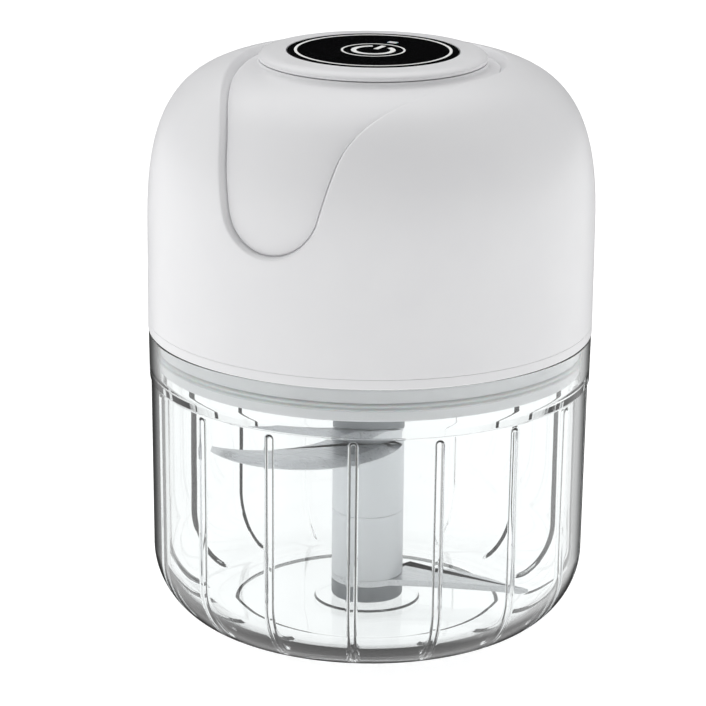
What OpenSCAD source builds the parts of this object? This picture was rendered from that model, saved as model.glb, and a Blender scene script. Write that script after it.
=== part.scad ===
// Cordless mini food processor: a clear ribbed cup, a lift-out blade set and a
// domed motor head with a press button.  Millimetres, +Z up.  The origin is at
// the middle of the underside, on the table, and the front faces -Y.

/* [Overall] */
// Outer diameter of the motor head
body_d = 87; // [73:0.5:104]
// Height of the cup's rim above the table
cup_h = 58.8; // [50:0.2:70]
// Height of the dome above the seam
dome_h = 51.85; // [44:0.05:62]

/* [Cup] */
// Wall thickness of the cup
cup_wall = 1.9; // [1.6:0.1:2.4]
// Thickness of the cup's floor
cup_floor = 1.8; // [1.4:0.1:2.4]
// Height of the foot ring under the floor
foot_h = 1.0; // [0.6:0.1:1.6]
// Width of the foot ring
foot_w = 3.6; // [2.6:0.1:5]
// Height of the rounded lower corner
corner_h = 14.1; // [11:0.1:17]
// Width of the rounded lower corner
corner_w = 13.2; // [11:0.1:16]
// Number of ribs inside the wall
rib_n = 16; // [8:1:20]
// Width of a rib
rib_w = 1.6; // [1.2:0.1:2.2]
// Height of a rib off the wall
rib_proud = 0.8; // [0.5:0.1:1.1]

/* [Blade set] */
// Diameter of the stem
stem_d = 14.2; // [12:0.1:17]
// Diameter of the stem's core
core_d = 10.8; // [10.2:0.1:11.4]
// Diameter of the steel pin that the stem turns on
pin_d = 4; // [3:0.1:4.4]
// Outer diameter of the bush on the pin
bush_d = 6.4; // [6:0.1:6.8]
// Thickness of a blade
blade_t = 1.2; // [0.8:0.1:1.5]
// Radius of the upper blade's tip
upper_tip_r = 32; // [26:0.5:36]
// Radius of the lower blade's tip
lower_tip_r = 33.6; // [26:0.5:35]
// Angle from the upper blade's tip to the lower one's
blade_turn = 145; // [90:5:180]
// Corner-to-corner size of the hexagonal drive
hex_d = 7.8; // [6.6:0.1:8.4]

/* [Head] */
// Wall thickness of the dome
shell_wall = 2.4; // [2.1:0.1:3]
// Height of the flange between dome and cup
flange_h = 2; // [1.6:0.1:3]
// Depth of the skirt inside the cup
skirt_h = 6.7; // [5.6:0.1:9]
// Width of the finger recess near its lower end
recess_w = 20.4; // [16:0.2:26]
// Depth of the finger recess
recess_deep = 1.35; // [0.8:0.05:1.6]
// Diameter of the ring around the button
bezel_d = 44.06; // [40:0.1:48]
// Diameter of the button
button_d = 33.08; // [28:0.1:34]
// Travel of the button
button_travel = 1; // [0.6:0.1:1.2]

/* [Drive and power] */
// Diameter of the motor
motor_d = 24.4; // [20:0.2:25]
// Length of the motor's can
motor_len = 30.8; // [25:0.1:31]
// Diameter of the motor's shaft
shaft_d = 2; // [2:0.1:2.4]
// Diameter of a battery cell
cell_d = 18.3; // [14:0.1:18.6]
// Length of a battery cell
cell_len = 35; // [30:0.5:36]
// Width of the charging socket
port_w = 8.94; // [7:0.01:10]
// Height of the charging socket
port_h = 3.16; // [2.6:0.01:3.6]

/* [Hidden] */
$fn = 96;
eps = 0.01;

// Clearances
run_gap = 0.05;        // a running fit, on the radius
slide_gap = 0.16;      // the button in its ring, on the radius
seat_gap = 0.1;        // two housings that slip into each other
seam_gap = 0.2;        // a visible seam
skirt_gap = 0.5;       // the skirt inside the cup

// Cup
body_r = body_d / 2;
cup_r = body_r - 0.1;
step_drop = 9.5;       // from the rim down to the outer step
step_in = 0.3;
draft = 0.35;
round_e = 1.9;         // exponent of the corner's superellipse
corner_steps = 8;
step_z = cup_h - step_drop;
cup_low_r = cup_r - 0.15 - step_in;
cup_foot_r = cup_low_r - draft;
floor_z = foot_h + cup_floor;
mouth_r = cup_r - cup_wall;
well_r = cup_low_r - cup_wall;
well_foot_r = cup_foot_r - cup_wall;
foot_out_r = cup_foot_r - corner_w;
rib_top_z = step_z - 1.2;
rib_end = 6;           // last step of the corner that a rib reaches
pad_r = 10.4;          // raised pad in the middle of the floor
pad_h = 0.4;
pin_boss_r = pin_d / 2 + 1.9;
pin_boss_top = floor_z + 3.4;
pin_foot_z = foot_h + 0.9;
pin_top_z = 24;

// Blade set, from the foot upwards
stem_r = stem_d / 2;
core_r = core_d / 2;
bush_r = bush_d / 2;
stem_foot_z = floor_z + pad_h + 0.3;
collar_h = 3.4;
lower_blade_z = stem_foot_z + collar_h;
lower_sleeve_z = lower_blade_z + blade_t;
lower_sleeve_h = 13.3;
upper_sleeve_z = lower_sleeve_z + lower_sleeve_h;
upper_blade_z = cup_h - 23.4;
hub_z = upper_blade_z + blade_t;
hub_top_z = cup_h - 8.8;
core_top_z = hub_z + 3.4;
socket_z = core_top_z + 1;
hex_r = hex_d / 2;
upper_tip_az = 222.6;  // direction of the upper blade's tip, anticlockwise from +X

// Head levels
skirt_z = cup_h - skirt_h;
base_floor_z = skirt_z + 1.9;
base_floor_t = 2.2;
base_top_z = base_floor_z + base_floor_t;
seam_z = cup_h + flange_h;
dome_top_z = seam_z + dome_h;
button_top_z = dome_top_z + 0.95;
skirt_r = mouth_r - skirt_gap;
skirt_wall = 1.8;
spigot_h = 4;
inner_r = body_r - shell_wall;
spigot_r = inner_r - seat_gap;

// Dome: straight up to dome_knee_z, then a superellipse
dome_knee_z = seam_z + 17.5;
dome_crown_h = dome_top_z - dome_knee_z;
dome_e_r = 5;
dome_e_z = 2.78;
dome_steps = 20;

// Finger recess, as an outline seen from the front
recess_r = recess_w / 2;
recess_low_z = dome_top_z - 30.3;   // lowest point
recess_lean = 12.5;                 // the sides lean out by this angle
recess_flare_r = 14;                // radius of the flare at the top
recess_top_z = dome_top_z - 0.9;    // the flare ends level here
recess_foot_z = recess_low_z + recess_r;
recess_side_z = recess_top_z - recess_flare_r * (1 - sin(recess_lean));

// Button and its ring
bezel_r = bezel_d / 2;
sunk_r = bezel_r + 3.77;   // edge of the sunken top behind the ring
button_r = button_d / 2;
bezel_in_r = button_r + slide_gap;
neck_r = bezel_in_r + 0.7;
boss_top_z = dome_top_z - 0.65;
bezel_z = boss_top_z;
neck_foot_z = button_top_z - 6.3;
cap_t = 2;
cap_under_z = button_top_z - cap_t;
print_t = 0.15;
ring_r = button_r - 1.34;
ring_w = 0.55;
icon_r = 6.2;
icon_w = 0.4;
power_r = 4.3;
power_w = 1;
window_w = 1.9;
window_l = 1.3;
window_y = 8.5;

// Motor, frame and boards
motor_r = motor_d / 2;
shaft_r = shaft_d / 2;
motor_z = base_top_z + 1;
can_wall = 0.8;
can_top_z = motor_z + motor_len;
end_cap_h = 2.5;
motor_top_z = can_top_z + end_cap_h;
bush_out_r = 3.1;
motor_screw_r = 8;
leg_w = 8;
leg_t = 2.5;
leg_y = motor_r + 0.7;
deck_r = leg_y + 1.1;
deck_t = 2;
deck_z = motor_top_z + 2.4;
board_z = deck_z + deck_t;
board_t = 1.6;
board_top_z = board_z + board_t;
board_r = 13.5;
board_screw_x = 11;
switch_w = 6;
switch_h = 3.1;
switch_tip_h = 1.3;
switch_tip_z = board_top_z + switch_h + switch_tip_h;
plunger_r = 2.2;
plunger_z = switch_tip_z + button_travel + 0.05;
spring_r = 5.6;
wire_r = 0.35;
spring_turns = 6;

// Battery cells, left and right of the motor
cell_r = cell_d / 2;
cell_wrap = 1.3;
cell_x = motor_r + cell_r + cell_wrap + 0.85;
cell_z = base_top_z + 2.2;
cell_top_z = cell_z + cell_len;

// Housing screws
screw_ring_r = body_r - 8.5;
screw_r = 1.05;
screw_boss_r = 3.2;
screw_boss_top = seam_z + 13.2;

// Charging socket at the back
port_z = seam_z + 9.2;
port_depth = 7.35;
port_mouth_y = body_r - 1.4;
charge_t = 1.6;
charge_z = port_z - port_h / 2 - charge_t;
charge_w = 24;
charge_y0 = port_mouth_y - 18;
charge_y1 = inner_r - 2.6;
post_x = 9;
post_y = charge_y0 + 4;
post_r = 2.2;
flap_w = port_w + 5.6;
flap_h = port_h + 5.4;
flap_t = 1;
flap_gap = 0.2;
flap_top_z = port_z + flap_h / 2;

function flip(points) = [for (i = [len(points) - 1 : -1 : 0]) points[i]];

// Quarter superellipse from a wall at radius r down to a floor at height z
function corner(r, w, h, z, last = corner_steps) = [
    for (i = [0 : last])
        let (t = 90 * i / corner_steps)
        [r - w + w * pow(cos(t), 2 / round_e), z + h - h * pow(sin(t), 2 / round_e)]
];

// The dome's profile from the seam to its axis, drawn in by the distance d
function dome_curve(d) = concat(
    [[body_r - d, seam_z - eps]],
    [for (i = [0 : dome_steps])
        let (t = 90 * i / dome_steps)
        [(body_r - d) * pow(cos(t), 2 / dome_e_r),
         dome_knee_z + (dome_crown_h - d) * pow(sin(t), 2 / dome_e_z)]]
);

// Points on an arc from p to q that bulges to its left by s
function arc(p, q, s, n) =
    let (c = norm(q - p), r = (c * c / 4 + s * s) / (2 * s), u = (q - p) / c,
         left = [-u[1], u[0]], m = (p + q) / 2 - left * (r - s), half = asin(c / 2 / r),
         a = abs(s) > abs(r) ? 180 - half : half)
    [for (i = [0 : n]) let (b = a - 2 * a * i / n) m + r * (left * cos(b) - u * sin(b))];

function polar(r, a) = [r * cos(a), r * sin(a)];

module ring(r_out, r_in, z, h) {
    translate([0, 0, z]) difference() {
        cylinder(r = r_out, h = h);
        translate([0, 0, -1]) cylinder(r = r_in, h = h + 2);
    }
}

module disc(r, z, h) {
    translate([0, 0, z]) cylinder(r = r, h = h);
}

module block(x, y, z, w, d, h) {
    translate([x - w / 2, y - d / 2, z]) cube([w, d, h]);
}

// ---------------------------------------------------------------- cup

module cup_ribs() {
    width = 2 * asin(rib_w / 2 / well_r);
    in = rib_proud;
    out = 0.6;
    h = corner_h - floor_z;
    profile = concat(
        [[well_r - in, rib_top_z]],
        corner(well_foot_r - in, corner_w - in, h - in, floor_z + in, rib_end),
        flip(corner(well_foot_r + out, corner_w + out, h + out, floor_z - out, rib_end)),
        [[well_r + out, rib_top_z]]
    );
    for (i = [0 : rib_n - 1])
        rotate([0, 0, 360 * i / rib_n - 90 - width / 2])
            rotate_extrude(angle = width) polygon(profile);
}

module cup() {
    outside = concat(
        [[0, foot_h], [foot_out_r - foot_w, foot_h], [foot_out_r - foot_w + 0.4, 0]],
        flip(corner(cup_foot_r, corner_w, corner_h, 0)),
        [[cup_low_r, step_z], [cup_low_r + step_in, step_z], [cup_r, cup_h - 0.4],
         [cup_r - 0.4, cup_h]]
    );
    inside = concat(
        [[mouth_r, cup_h], [mouth_r, step_z + 1.6], [well_r, step_z - 0.4]],
        corner(well_foot_r, corner_w, corner_h - floor_z, floor_z),
        [[0, floor_z]]
    );
    color([0.93, 0.96, 0.97, 0.35]) difference() {
        union() {
            rotate_extrude() polygon(concat(outside, inside));
            cup_ribs();
            disc(pad_r, floor_z - eps, pad_h + eps);
            disc(pin_boss_r, floor_z - eps, pin_boss_top - floor_z + eps);
        }
        disc(pin_d / 2, pin_foot_z, pin_boss_top);
    }
}

module pivot_pin() {
    color("silver") disc(pin_d / 2, pin_foot_z, pin_top_z - pin_foot_z);
}

// ---------------------------------------------------------------- blade set

module pivot_bush() {
    top = pin_top_z + 0.02;
    color("whitesmoke") difference() {
        disc(bush_r, pin_boss_top + 0.3, top + 1.6 - pin_boss_top - 0.3);
        disc(pin_d / 2 + run_gap, pin_boss_top - 1, top - pin_boss_top + 1);
    }
}

module stem_core() {
    color("lightgray") difference() {
        disc(core_r, stem_foot_z, core_top_z - stem_foot_z);
        disc(bush_r + run_gap, stem_foot_z - 1, pin_top_z + 1.8 - stem_foot_z + 1);
        disc(pin_boss_r + 0.4, stem_foot_z - 1, pin_boss_top + 0.5 - stem_foot_z + 1);
    }
}

module stem_foot_collar() {
    color("gray") ring(stem_r, core_r, stem_foot_z, collar_h);
}

module lower_sleeve() {
    color("lightgray") ring(stem_r, core_r, lower_sleeve_z, lower_sleeve_h);
}

module upper_sleeve() {
    color("lightgray") ring(stem_r, core_r, upper_sleeve_z, upper_blade_z - upper_sleeve_z);
}

// A swept blade with its tip on the +X side: out_* is its convex leading edge
// and in_* its trailing edge, each from an angle on the hub to the tip
module blade(z, tip_r, out_a, out_r, out_s, in_a, in_s) {
    tip = polar(tip_r, 0);
    outline = concat(
        arc(polar(out_r, out_a), tip, out_s, 14),
        arc(tip, polar(stem_r - 0.2, in_a), in_s, 8),
        [[0, 0]]
    );
    color("silver") translate([0, 0, z]) difference() {
        union() {
            cylinder(r = stem_r, h = blade_t);
            linear_extrude(height = blade_t) polygon(outline);
        }
        translate([0, 0, -1]) cylinder(r = core_r, h = blade_t + 2);
    }
}

module upper_blade() {
    rotate([0, 0, upper_tip_az])
        blade(upper_blade_z, upper_tip_r, 137, stem_r + 0.5, 13.4, -3, -5.6);
}

module lower_blade() {
    rotate([0, 0, upper_tip_az + blade_turn])
        blade(lower_blade_z, lower_tip_r, 62, stem_r + 1.4, 4.2, -38, -1.2);
}

module drive_hub() {
    color("dimgray") difference() {
        disc(stem_r, hub_z, hub_top_z - hub_z);
        disc(core_r, hub_z - 1, core_top_z - hub_z + 1);
        translate([0, 0, socket_z])
            cylinder(r = hex_r + 0.15, h = hub_top_z - socket_z + 1, $fn = 6);
    }
}

// ---------------------------------------------------------------- head housing

module housing_screw_places() {
    for (a = [45 : 90 : 315]) rotate([0, 0, a]) translate([screw_ring_r, 0, 0]) children();
}

module charge_post_places() {
    for (x = [-post_x, post_x]) translate([x, post_y, 0]) children();
}

module motor_screw_places() {
    for (x = [-motor_screw_r, motor_screw_r]) translate([x, 0, 0]) children();
}

module head_base() {
    color("white") difference() {
        union() {
            ring(body_r, skirt_r - skirt_wall, cup_h, flange_h);
            ring(skirt_r, skirt_r - skirt_wall, skirt_z, skirt_h + eps);
            ring(spigot_r, spigot_r - 1.6, seam_z - eps, spigot_h + eps);
            disc(skirt_r - eps, base_floor_z, base_floor_t);
            disc(6.4, base_floor_z, base_floor_t + 1);
            charge_post_places() disc(post_r, base_top_z - eps, charge_z - base_top_z + eps);
        }
        // groove for the seal
        ring(skirt_r + 1, skirt_r - 0.9, skirt_z + 2, 1.6);
        // motor nose and shaft seal
        disc(bush_out_r + seat_gap, base_floor_z + 1.4, 4);
        disc(5, base_floor_z - 1, 2.4);
        motor_screw_places() disc(1.3, base_floor_z - 1, base_floor_t + 3);
        housing_screw_places() disc(1.3, base_floor_z - 1, base_floor_t + 2);
        charge_post_places() disc(0.95, charge_z - 5, 6);
    }
}

module seal_ring() {
    color("gainsboro") ring(mouth_r - run_gap, skirt_r - 0.9, skirt_z + 2, 1.6);
}

// The finger recess's outline as seen from the front: a round lower end, sides
// that lean outwards and a flare that runs level at the top
module recess_outline() {
    out_x = recess_r * cos(recess_lean)
        + (recess_side_z - recess_foot_z + recess_r * sin(recess_lean)) * tan(recess_lean);
    half = concat(
        [for (a = [-90 : 6 : -recess_lean])
            [recess_r * cos(a), recess_foot_z + recess_r * sin(a)]],
        [for (a = [recess_lean : 7.75 : 90])
            [out_x + recess_flare_r * (cos(recess_lean) - cos(a)),
             recess_side_z + recess_flare_r * (sin(a) - sin(recess_lean))]],
        [[body_r + 5, recess_top_z], [body_r + 5, dome_top_z + 5]]
    );
    polygon(concat(half, [for (p = flip(half)) [-p[0], p[1]]]));
}

module dome_shell() {
    color("white") difference() {
        union() {
            difference() {
                rotate_extrude() polygon(concat([[0, seam_z - eps]], dome_curve(0)));
                intersection() {
                    union() {
                        rotate([90, 0, 0]) linear_extrude(height = body_d) recess_outline();
                        disc(sunk_r, recess_side_z, dome_top_z + 5 - recess_side_z);
                    }
                    rotate_extrude() polygon(concat(
                        [[body_r + 3, recess_low_z - 5], [body_r + 3, dome_top_z + 3],
                         [0, dome_top_z + 3]],
                        flip([for (p = dome_curve(recess_deep))
                            if (p[1] > recess_low_z - 8) p])
                    ));
                }
                rotate_extrude() polygon(concat([[0, seam_z - 1], [inner_r, seam_z - 1]],
                    dome_curve(shell_wall)));
            }
            // collar that the button's ring sits on, with a hollow fillet round it
            rotate_extrude() polygon([
                [neck_r - 0.4, dome_top_z - shell_wall - 0.6],
                [neck_r + 3, dome_top_z - shell_wall - 0.6],
                [bezel_r + 1.4, dome_top_z - 2.2], [bezel_r + 0.9, dome_top_z - 1.64],
                [bezel_r + 0.3, dome_top_z - 1.4], [bezel_r, dome_top_z - 1.1],
                [bezel_r - 0.1, boss_top_z - seam_gap], [bezel_r - 1.6, boss_top_z - seam_gap],
                [bezel_r - 1.6, boss_top_z], [neck_r - 0.4, boss_top_z]
            ]);
            // posts for the housing screws, tied to the wall
            housing_screw_places() {
                disc(screw_boss_r, base_top_z, screw_boss_top - base_top_z);
                translate([0, -1, seam_z + spigot_h + 0.4])
                    cube([body_r - shell_wall / 2 - screw_ring_r, 2,
                          screw_boss_top - seam_z - spigot_h - 0.4]);
            }
        }
        // below the seam only the posts remain
        ring(body_r + 1, screw_ring_r + screw_boss_r + 0.5, base_top_z - 1, seam_z - base_top_z + 1);
        disc(neck_r + run_gap, dome_top_z - 20, 30);
        housing_screw_places() disc(screw_r, base_top_z - 1, 12);
        // charging opening and the pocket for its cover
        block(0, inner_r, port_z - port_h / 2 - 0.25, port_w + 0.5, 12, port_h + 0.5);
        intersection() {
            block(0, body_r, flap_top_z - flap_h - flap_gap, flap_w + 2 * flap_gap, 12,
                  flap_h + 2 * flap_gap);
            ring(body_r + 1, body_r - flap_t - flap_gap, port_z - flap_h, 2 * flap_h);
        }
    }
}

module button_bezel() {
    color("white") rotate_extrude() polygon(concat(
        [[bezel_in_r, neck_foot_z], [neck_r, neck_foot_z], [neck_r, bezel_z],
         [bezel_r, bezel_z]],
        [for (a = [0 : 15 : 90])
            [bezel_r - 2.7 * (1 - cos(a)), bezel_z + 0.45 + 1.0 * sin(a)]],
        [[bezel_in_r + 0.15, button_top_z], [bezel_in_r, button_top_z - 0.15]]
    ));
}

module housing_screws() {
    color("darkgray") housing_screw_places() {
        disc(2.3, base_floor_z - 1.4, 1.4);
        disc(screw_r, base_floor_z - eps, 11);
    }
}

// ---------------------------------------------------------------- button

module print_shapes() {
    difference() {
        circle(r = ring_r);
        circle(r = ring_r - ring_w);
    }
    difference() {
        circle(r = icon_r);
        circle(r = icon_r - icon_w);
    }
    difference() {
        circle(r = power_r);
        circle(r = power_r - power_w);
        polygon([[0, 0], [-3.2, 6], [3.2, 6]]);
    }
    translate([-power_w / 2, 1]) square([power_w, 3.6]);
}

module button_symbol() {
    color("white") translate([0, 0, button_top_z - print_t])
        linear_extrude(height = print_t) print_shapes();
}

module button_cap() {
    color([0.05, 0.05, 0.06]) difference() {
        union() {
            disc(button_r, cap_under_z, cap_t);
            ring(button_r, button_r - 1.2, neck_foot_z - 1.1, cap_under_z - neck_foot_z + 1.1 + eps);
            for (a = [30 : 120 : 270]) rotate([0, 0, a - 9]) rotate_extrude(angle = 18)
                translate([button_r - 0.5, neck_foot_z - 1.1]) square([1.0, 1.0]);
        }
        translate([0, 0, button_top_z - print_t]) linear_extrude(height = 1) print_shapes();
        block(0, window_y, cap_under_z - 1, window_w, window_l, cap_t + 2);
    }
}

module button_plunger() {
    color("gainsboro") disc(plunger_r, plunger_z, cap_under_z - plunger_z);
}

module light_pipe() {
    foot_z = board_top_z + 0.9 + button_travel;
    color("azure") union() {
        block(0, window_y, cap_under_z - eps, window_w, window_l, cap_t + eps);
        translate([0, window_y, foot_z]) cylinder(r = 0.6, h = cap_under_z - foot_z);
    }
}

// Compression spring between the board and the button
module button_spring() {
    sides = 8;
    per_turn = 20;
    z0 = board_top_z + wire_r + 0.02;
    z1 = cap_under_z - wire_r - 0.02;
    rings = spring_turns * per_turn;
    points = [for (i = [0 : rings], j = [0 : sides - 1])
        let (a = 360 * i / per_turn, b = 360 * j / sides, r = spring_r + wire_r * cos(b))
        [r * cos(a), r * sin(a), z0 + (z1 - z0) * i / rings + wire_r * sin(b)]];
    walls = [for (i = [0 : rings - 1], j = [0 : sides - 1])
        let (k = (j + 1) % sides)
        [i * sides + j, i * sides + k, (i + 1) * sides + k, (i + 1) * sides + j]];
    ends = [[for (j = [sides - 1 : -1 : 0]) j], [for (j = [0 : sides - 1]) rings * sides + j]];
    color("silver") polyhedron(points, concat(walls, ends));
}

// ---------------------------------------------------------------- motor and drive

module motor_can() {
    color("silver") difference() {
        disc(motor_r, motor_z, motor_len);
        disc(motor_r - can_wall, motor_z + can_wall, motor_len);
        disc(bush_out_r, motor_z - 1, 4);
        motor_screw_places() disc(screw_r, motor_z - 1, 4);
    }
}

module motor_magnets() {
    color("dimgray") difference() {
        ring(motor_r - can_wall, motor_r - can_wall - 1.4, motor_z + 3, motor_len - 8);
        for (a = [0, 90]) rotate([0, 0, a]) block(0, 0, motor_z, 4, 3 * motor_r, motor_len);
    }
}

module motor_end_cap() {
    color("ivory") difference() {
        union() {
            disc(motor_r, can_top_z, end_cap_h);
            disc(motor_r - can_wall, can_top_z - 1.2, 1.2 + eps);
        }
        disc(bush_out_r, can_top_z - 2, end_cap_h + 4);
    }
}

module motor_bushes() {
    color("goldenrod") {
        ring(bush_out_r, shaft_r + run_gap, base_top_z + 0.1, 2.6);
        ring(bush_out_r, shaft_r + run_gap, can_top_z - 1.2, 1.2 + end_cap_h);
    }
}

module motor_screws() {
    color("darkgray") motor_screw_places() {
        disc(1.9, base_floor_z - 1.1, 1.1);
        disc(screw_r, base_floor_z - eps, motor_z + can_wall - base_floor_z);
    }
}

module shaft_seal() {
    color("dimgray") ring(5, shaft_r + run_gap, base_floor_z + 0.1, 1.3);
}

module motor_shaft() {
    color("silver") disc(shaft_r, hub_top_z - 6, motor_top_z + 0.6 - hub_top_z + 6);
}

module motor_rotor() {
    color("peru") difference() {
        union() {
            for (a = [0 : 60 : 120]) rotate([0, 0, a])
                intersection() {
                    block(0, 0, motor_z + 5, 6, 2 * motor_r, motor_len - 12);
                    disc(motor_r - can_wall - 2, motor_z, motor_len);
                }
            disc(2.6, motor_z + 3, motor_len - 6);
        }
        disc(shaft_r, motor_z, motor_len);
    }
}

module drive_coupling() {
    color("lightgray") difference() {
        union() {
            translate([0, 0, hub_top_z - 7]) cylinder(r = hex_r, h = 8.5, $fn = 6);
            disc(4.6, hub_top_z + 1.4, 1.8);
        }
        disc(shaft_r, hub_top_z - 6, 12);
    }
}

// ---------------------------------------------------------------- frame, boards, cells

module chassis() {
    color("whitesmoke") difference() {
        union() {
            disc(deck_r, deck_z, deck_t);
            for (s = [-1, 1]) block(0, s * (leg_y + leg_t / 2), base_top_z, leg_w, leg_t,
                                    deck_z + deck_t - base_top_z);
        }
        for (x = [-board_screw_x, board_screw_x]) translate([x, 0, 0])
            disc(0.9, deck_z - 1, deck_t + 2);
    }
}

module control_board() {
    color("seagreen") difference() {
        disc(board_r, board_z, board_t);
        for (x = [-board_screw_x, board_screw_x]) translate([x, 0, 0])
            disc(0.9, board_z - 1, board_t + 2);
    }
}

module tact_switch() {
    color("dimgray") {
        block(0, 0, board_top_z, switch_w, switch_w, switch_h);
        disc(1.7, board_top_z + switch_h - eps, switch_tip_h + eps);
    }
}

module status_leds() {
    color("palegreen") for (x = [-1.2, 1.2])
        block(x, window_y, board_top_z, 1.6, 0.8, 0.6);
}

module small_screw(top_z, length) {
    disc(1.8, top_z, 1.2);
    disc(0.9, top_z - length, length + eps);
}

module board_screws() {
    color("darkgray") {
        for (x = [-board_screw_x, board_screw_x]) translate([x, 0, 0])
            small_screw(board_top_z, board_t + deck_t);
        charge_post_places() small_screw(charge_z + charge_t, charge_t + 4);
    }
}

module battery_cells() {
    color("steelblue") for (s = [-1, 1]) translate([s * cell_x, 0, 0])
        disc(cell_r, cell_z, cell_len);
}

module battery_holder() {
    color("whitesmoke") for (s = [-1, 1]) translate([s * cell_x, 0, 0]) difference() {
        disc(cell_r + cell_wrap, base_top_z, 12);
        disc(cell_r, cell_z, 20);
    }
}

module battery_tabs() {
    color("silver") for (s = [-1, 1]) block(s * cell_x, 0, cell_top_z, 5, 12, 0.3);
}

module charge_board() {
    color("seagreen") difference() {
        block(0, (charge_y0 + charge_y1) / 2, charge_z, charge_w, charge_y1 - charge_y0, charge_t);
        charge_post_places() disc(0.9, charge_z - 1, charge_t + 2);
    }
}

// Round-ended socket shell with its tongue
module usb_socket() {
    r = port_h / 2;
    wall = 0.3;
    color("silver") translate([0, port_mouth_y, port_z]) rotate([90, 0, 0]) {
        difference() {
            linear_extrude(height = port_depth) slot_shape(port_w, r);
            translate([0, 0, -1]) linear_extrude(height = port_depth)
                slot_shape(port_w - 2 * wall, r - wall);
        }
        translate([-port_w / 2 + 1.2, -0.35, 0.6]) cube([port_w - 2.4, 0.7, port_depth - 0.6]);
    }
}

module slot_shape(w, r) {
    square([w - 2 * r, 2 * r], center = true);
    for (s = [-1, 1]) translate([s * (w / 2 - r), 0]) circle(r = r);
}

module port_cover() {
    color("gainsboro") union() {
        intersection() {
            block(0, body_r, flap_top_z - flap_h, flap_w, 12, flap_h);
            ring(body_r, body_r - flap_t, port_z - flap_h, 2 * flap_h);
        }
        block(0, body_r - flap_t - 0.3, port_z - 0.7, port_w - 2.4, 1, 1.4);
    }
}

// Insulated wire along points, with round turns of the sweep at every point
function smooth(p, n) = [for (i = [0 : len(p) - 2], k = [0 : n - 1])
    let (a = p[max(i - 1, 0)], b = p[i], c = p[i + 1], d = p[min(i + 2, len(p) - 1)], t = k / n)
    0.5 * (2 * b + (c - a) * t + (2 * a - 5 * b + 4 * c - d) * t * t
        + (3 * b - a - 3 * c + d) * t * t * t)];

module lead(route, r) {
    sides = 8;
    path = concat(smooth(route, 6), [route[len(route) - 1]]);
    last = len(path) - 1;
    points = [for (i = [0 : last], j = [0 : sides - 1])
        let (t = path[min(i + 1, last)] - path[max(i - 1, 0)], u = t / norm(t),
             side = abs(u[2]) > 0.9 ? [1, 0, 0] : [0, 0, 1],
             v = cross(u, side) / norm(cross(u, side)), w = cross(u, v),
             b = -360 * j / sides)
        path[i] + r * (v * cos(b) + w * sin(b))];
    walls = [for (i = [0 : last - 1], j = [0 : sides - 1])
        let (k = (j + 1) % sides)
        [i * sides + j, i * sides + k, (i + 1) * sides + k, (i + 1) * sides + j]];
    ends = [[for (j = [sides - 1 : -1 : 0]) j], [for (j = [0 : sides - 1]) last * sides + j]];
    polyhedron(points, concat(walls, ends));
}

module battery_leads() {
    for (s = [-1, 1]) color(s < 0 ? "black" : "red") lead([
        [s * cell_x, 3, cell_top_z + 0.9],
        [s * (cell_x - 3), 4, cell_top_z + 3],
        [s * (cell_x - 9), 6, board_top_z + 1.6],
        [s * (board_r - 3.2), 7, board_top_z + 0.7]
    ], 0.55);
}

module motor_leads() {
    for (s = [-1, 1]) color(s < 0 ? "black" : "red") lead([
        [s * 7, -4, motor_top_z + 0.6],
        [s * 9, 5 - deck_r, motor_top_z + 1.1],
        [s * 10, -deck_r - 0.6, deck_z + 1],
        [s * 9, -deck_r, board_top_z + 1.4],
        [s * 7, -8.5, board_top_z + 0.7]
    ], 0.5);
}

cup();
pivot_pin();
pivot_bush();
stem_core();
stem_foot_collar();
lower_blade();
lower_sleeve();
upper_sleeve();
upper_blade();
drive_hub();
head_base();
seal_ring();
dome_shell();
button_bezel();
housing_screws();
button_symbol();
button_cap();
button_plunger();
light_pipe();
button_spring();
motor_can();
motor_magnets();
motor_end_cap();
motor_bushes();
motor_screws();
shaft_seal();
motor_shaft();
motor_rotor();
drive_coupling();
chassis();
control_board();
tact_switch();
status_leds();
board_screws();
battery_cells();
battery_holder();
battery_tabs();
charge_board();
usb_socket();
port_cover();
battery_leads();
motor_leads();
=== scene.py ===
# Cordless mini food processor: finished pieces for its CAD frame, and the stage they
# stand on.  Sizes in this file are millimetres unless a name or a comment says metres.

import bisect
import math

import bmesh
import bpy
import numpy as np
from mathutils import Matrix, Vector, geometry


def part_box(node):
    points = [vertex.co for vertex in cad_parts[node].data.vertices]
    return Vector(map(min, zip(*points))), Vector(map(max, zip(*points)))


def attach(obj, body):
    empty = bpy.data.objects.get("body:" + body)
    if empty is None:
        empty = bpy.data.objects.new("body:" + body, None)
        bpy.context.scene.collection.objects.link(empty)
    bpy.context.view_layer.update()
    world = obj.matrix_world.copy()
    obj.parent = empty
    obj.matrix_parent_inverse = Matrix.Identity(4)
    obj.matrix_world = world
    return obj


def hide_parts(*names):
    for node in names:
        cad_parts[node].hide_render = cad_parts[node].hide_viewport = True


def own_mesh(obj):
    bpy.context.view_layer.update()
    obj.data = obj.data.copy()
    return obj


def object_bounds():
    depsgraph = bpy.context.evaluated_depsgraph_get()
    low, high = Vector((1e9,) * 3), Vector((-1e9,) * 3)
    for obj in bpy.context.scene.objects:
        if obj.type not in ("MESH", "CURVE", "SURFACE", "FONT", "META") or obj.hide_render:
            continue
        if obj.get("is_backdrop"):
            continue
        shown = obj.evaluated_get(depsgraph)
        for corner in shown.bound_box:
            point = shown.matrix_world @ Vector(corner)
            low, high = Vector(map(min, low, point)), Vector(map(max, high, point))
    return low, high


bl_info = {
    "name": "Mini Food Processor",
    "version": (1, 0, 0),
    "blender": (4, 5, 0),
    "location": "3D View > Sidebar > Processor",
    "description": "Finished pieces of a cordless mini food processor, on its CAD frame",
    "category": "Object",
}

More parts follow.
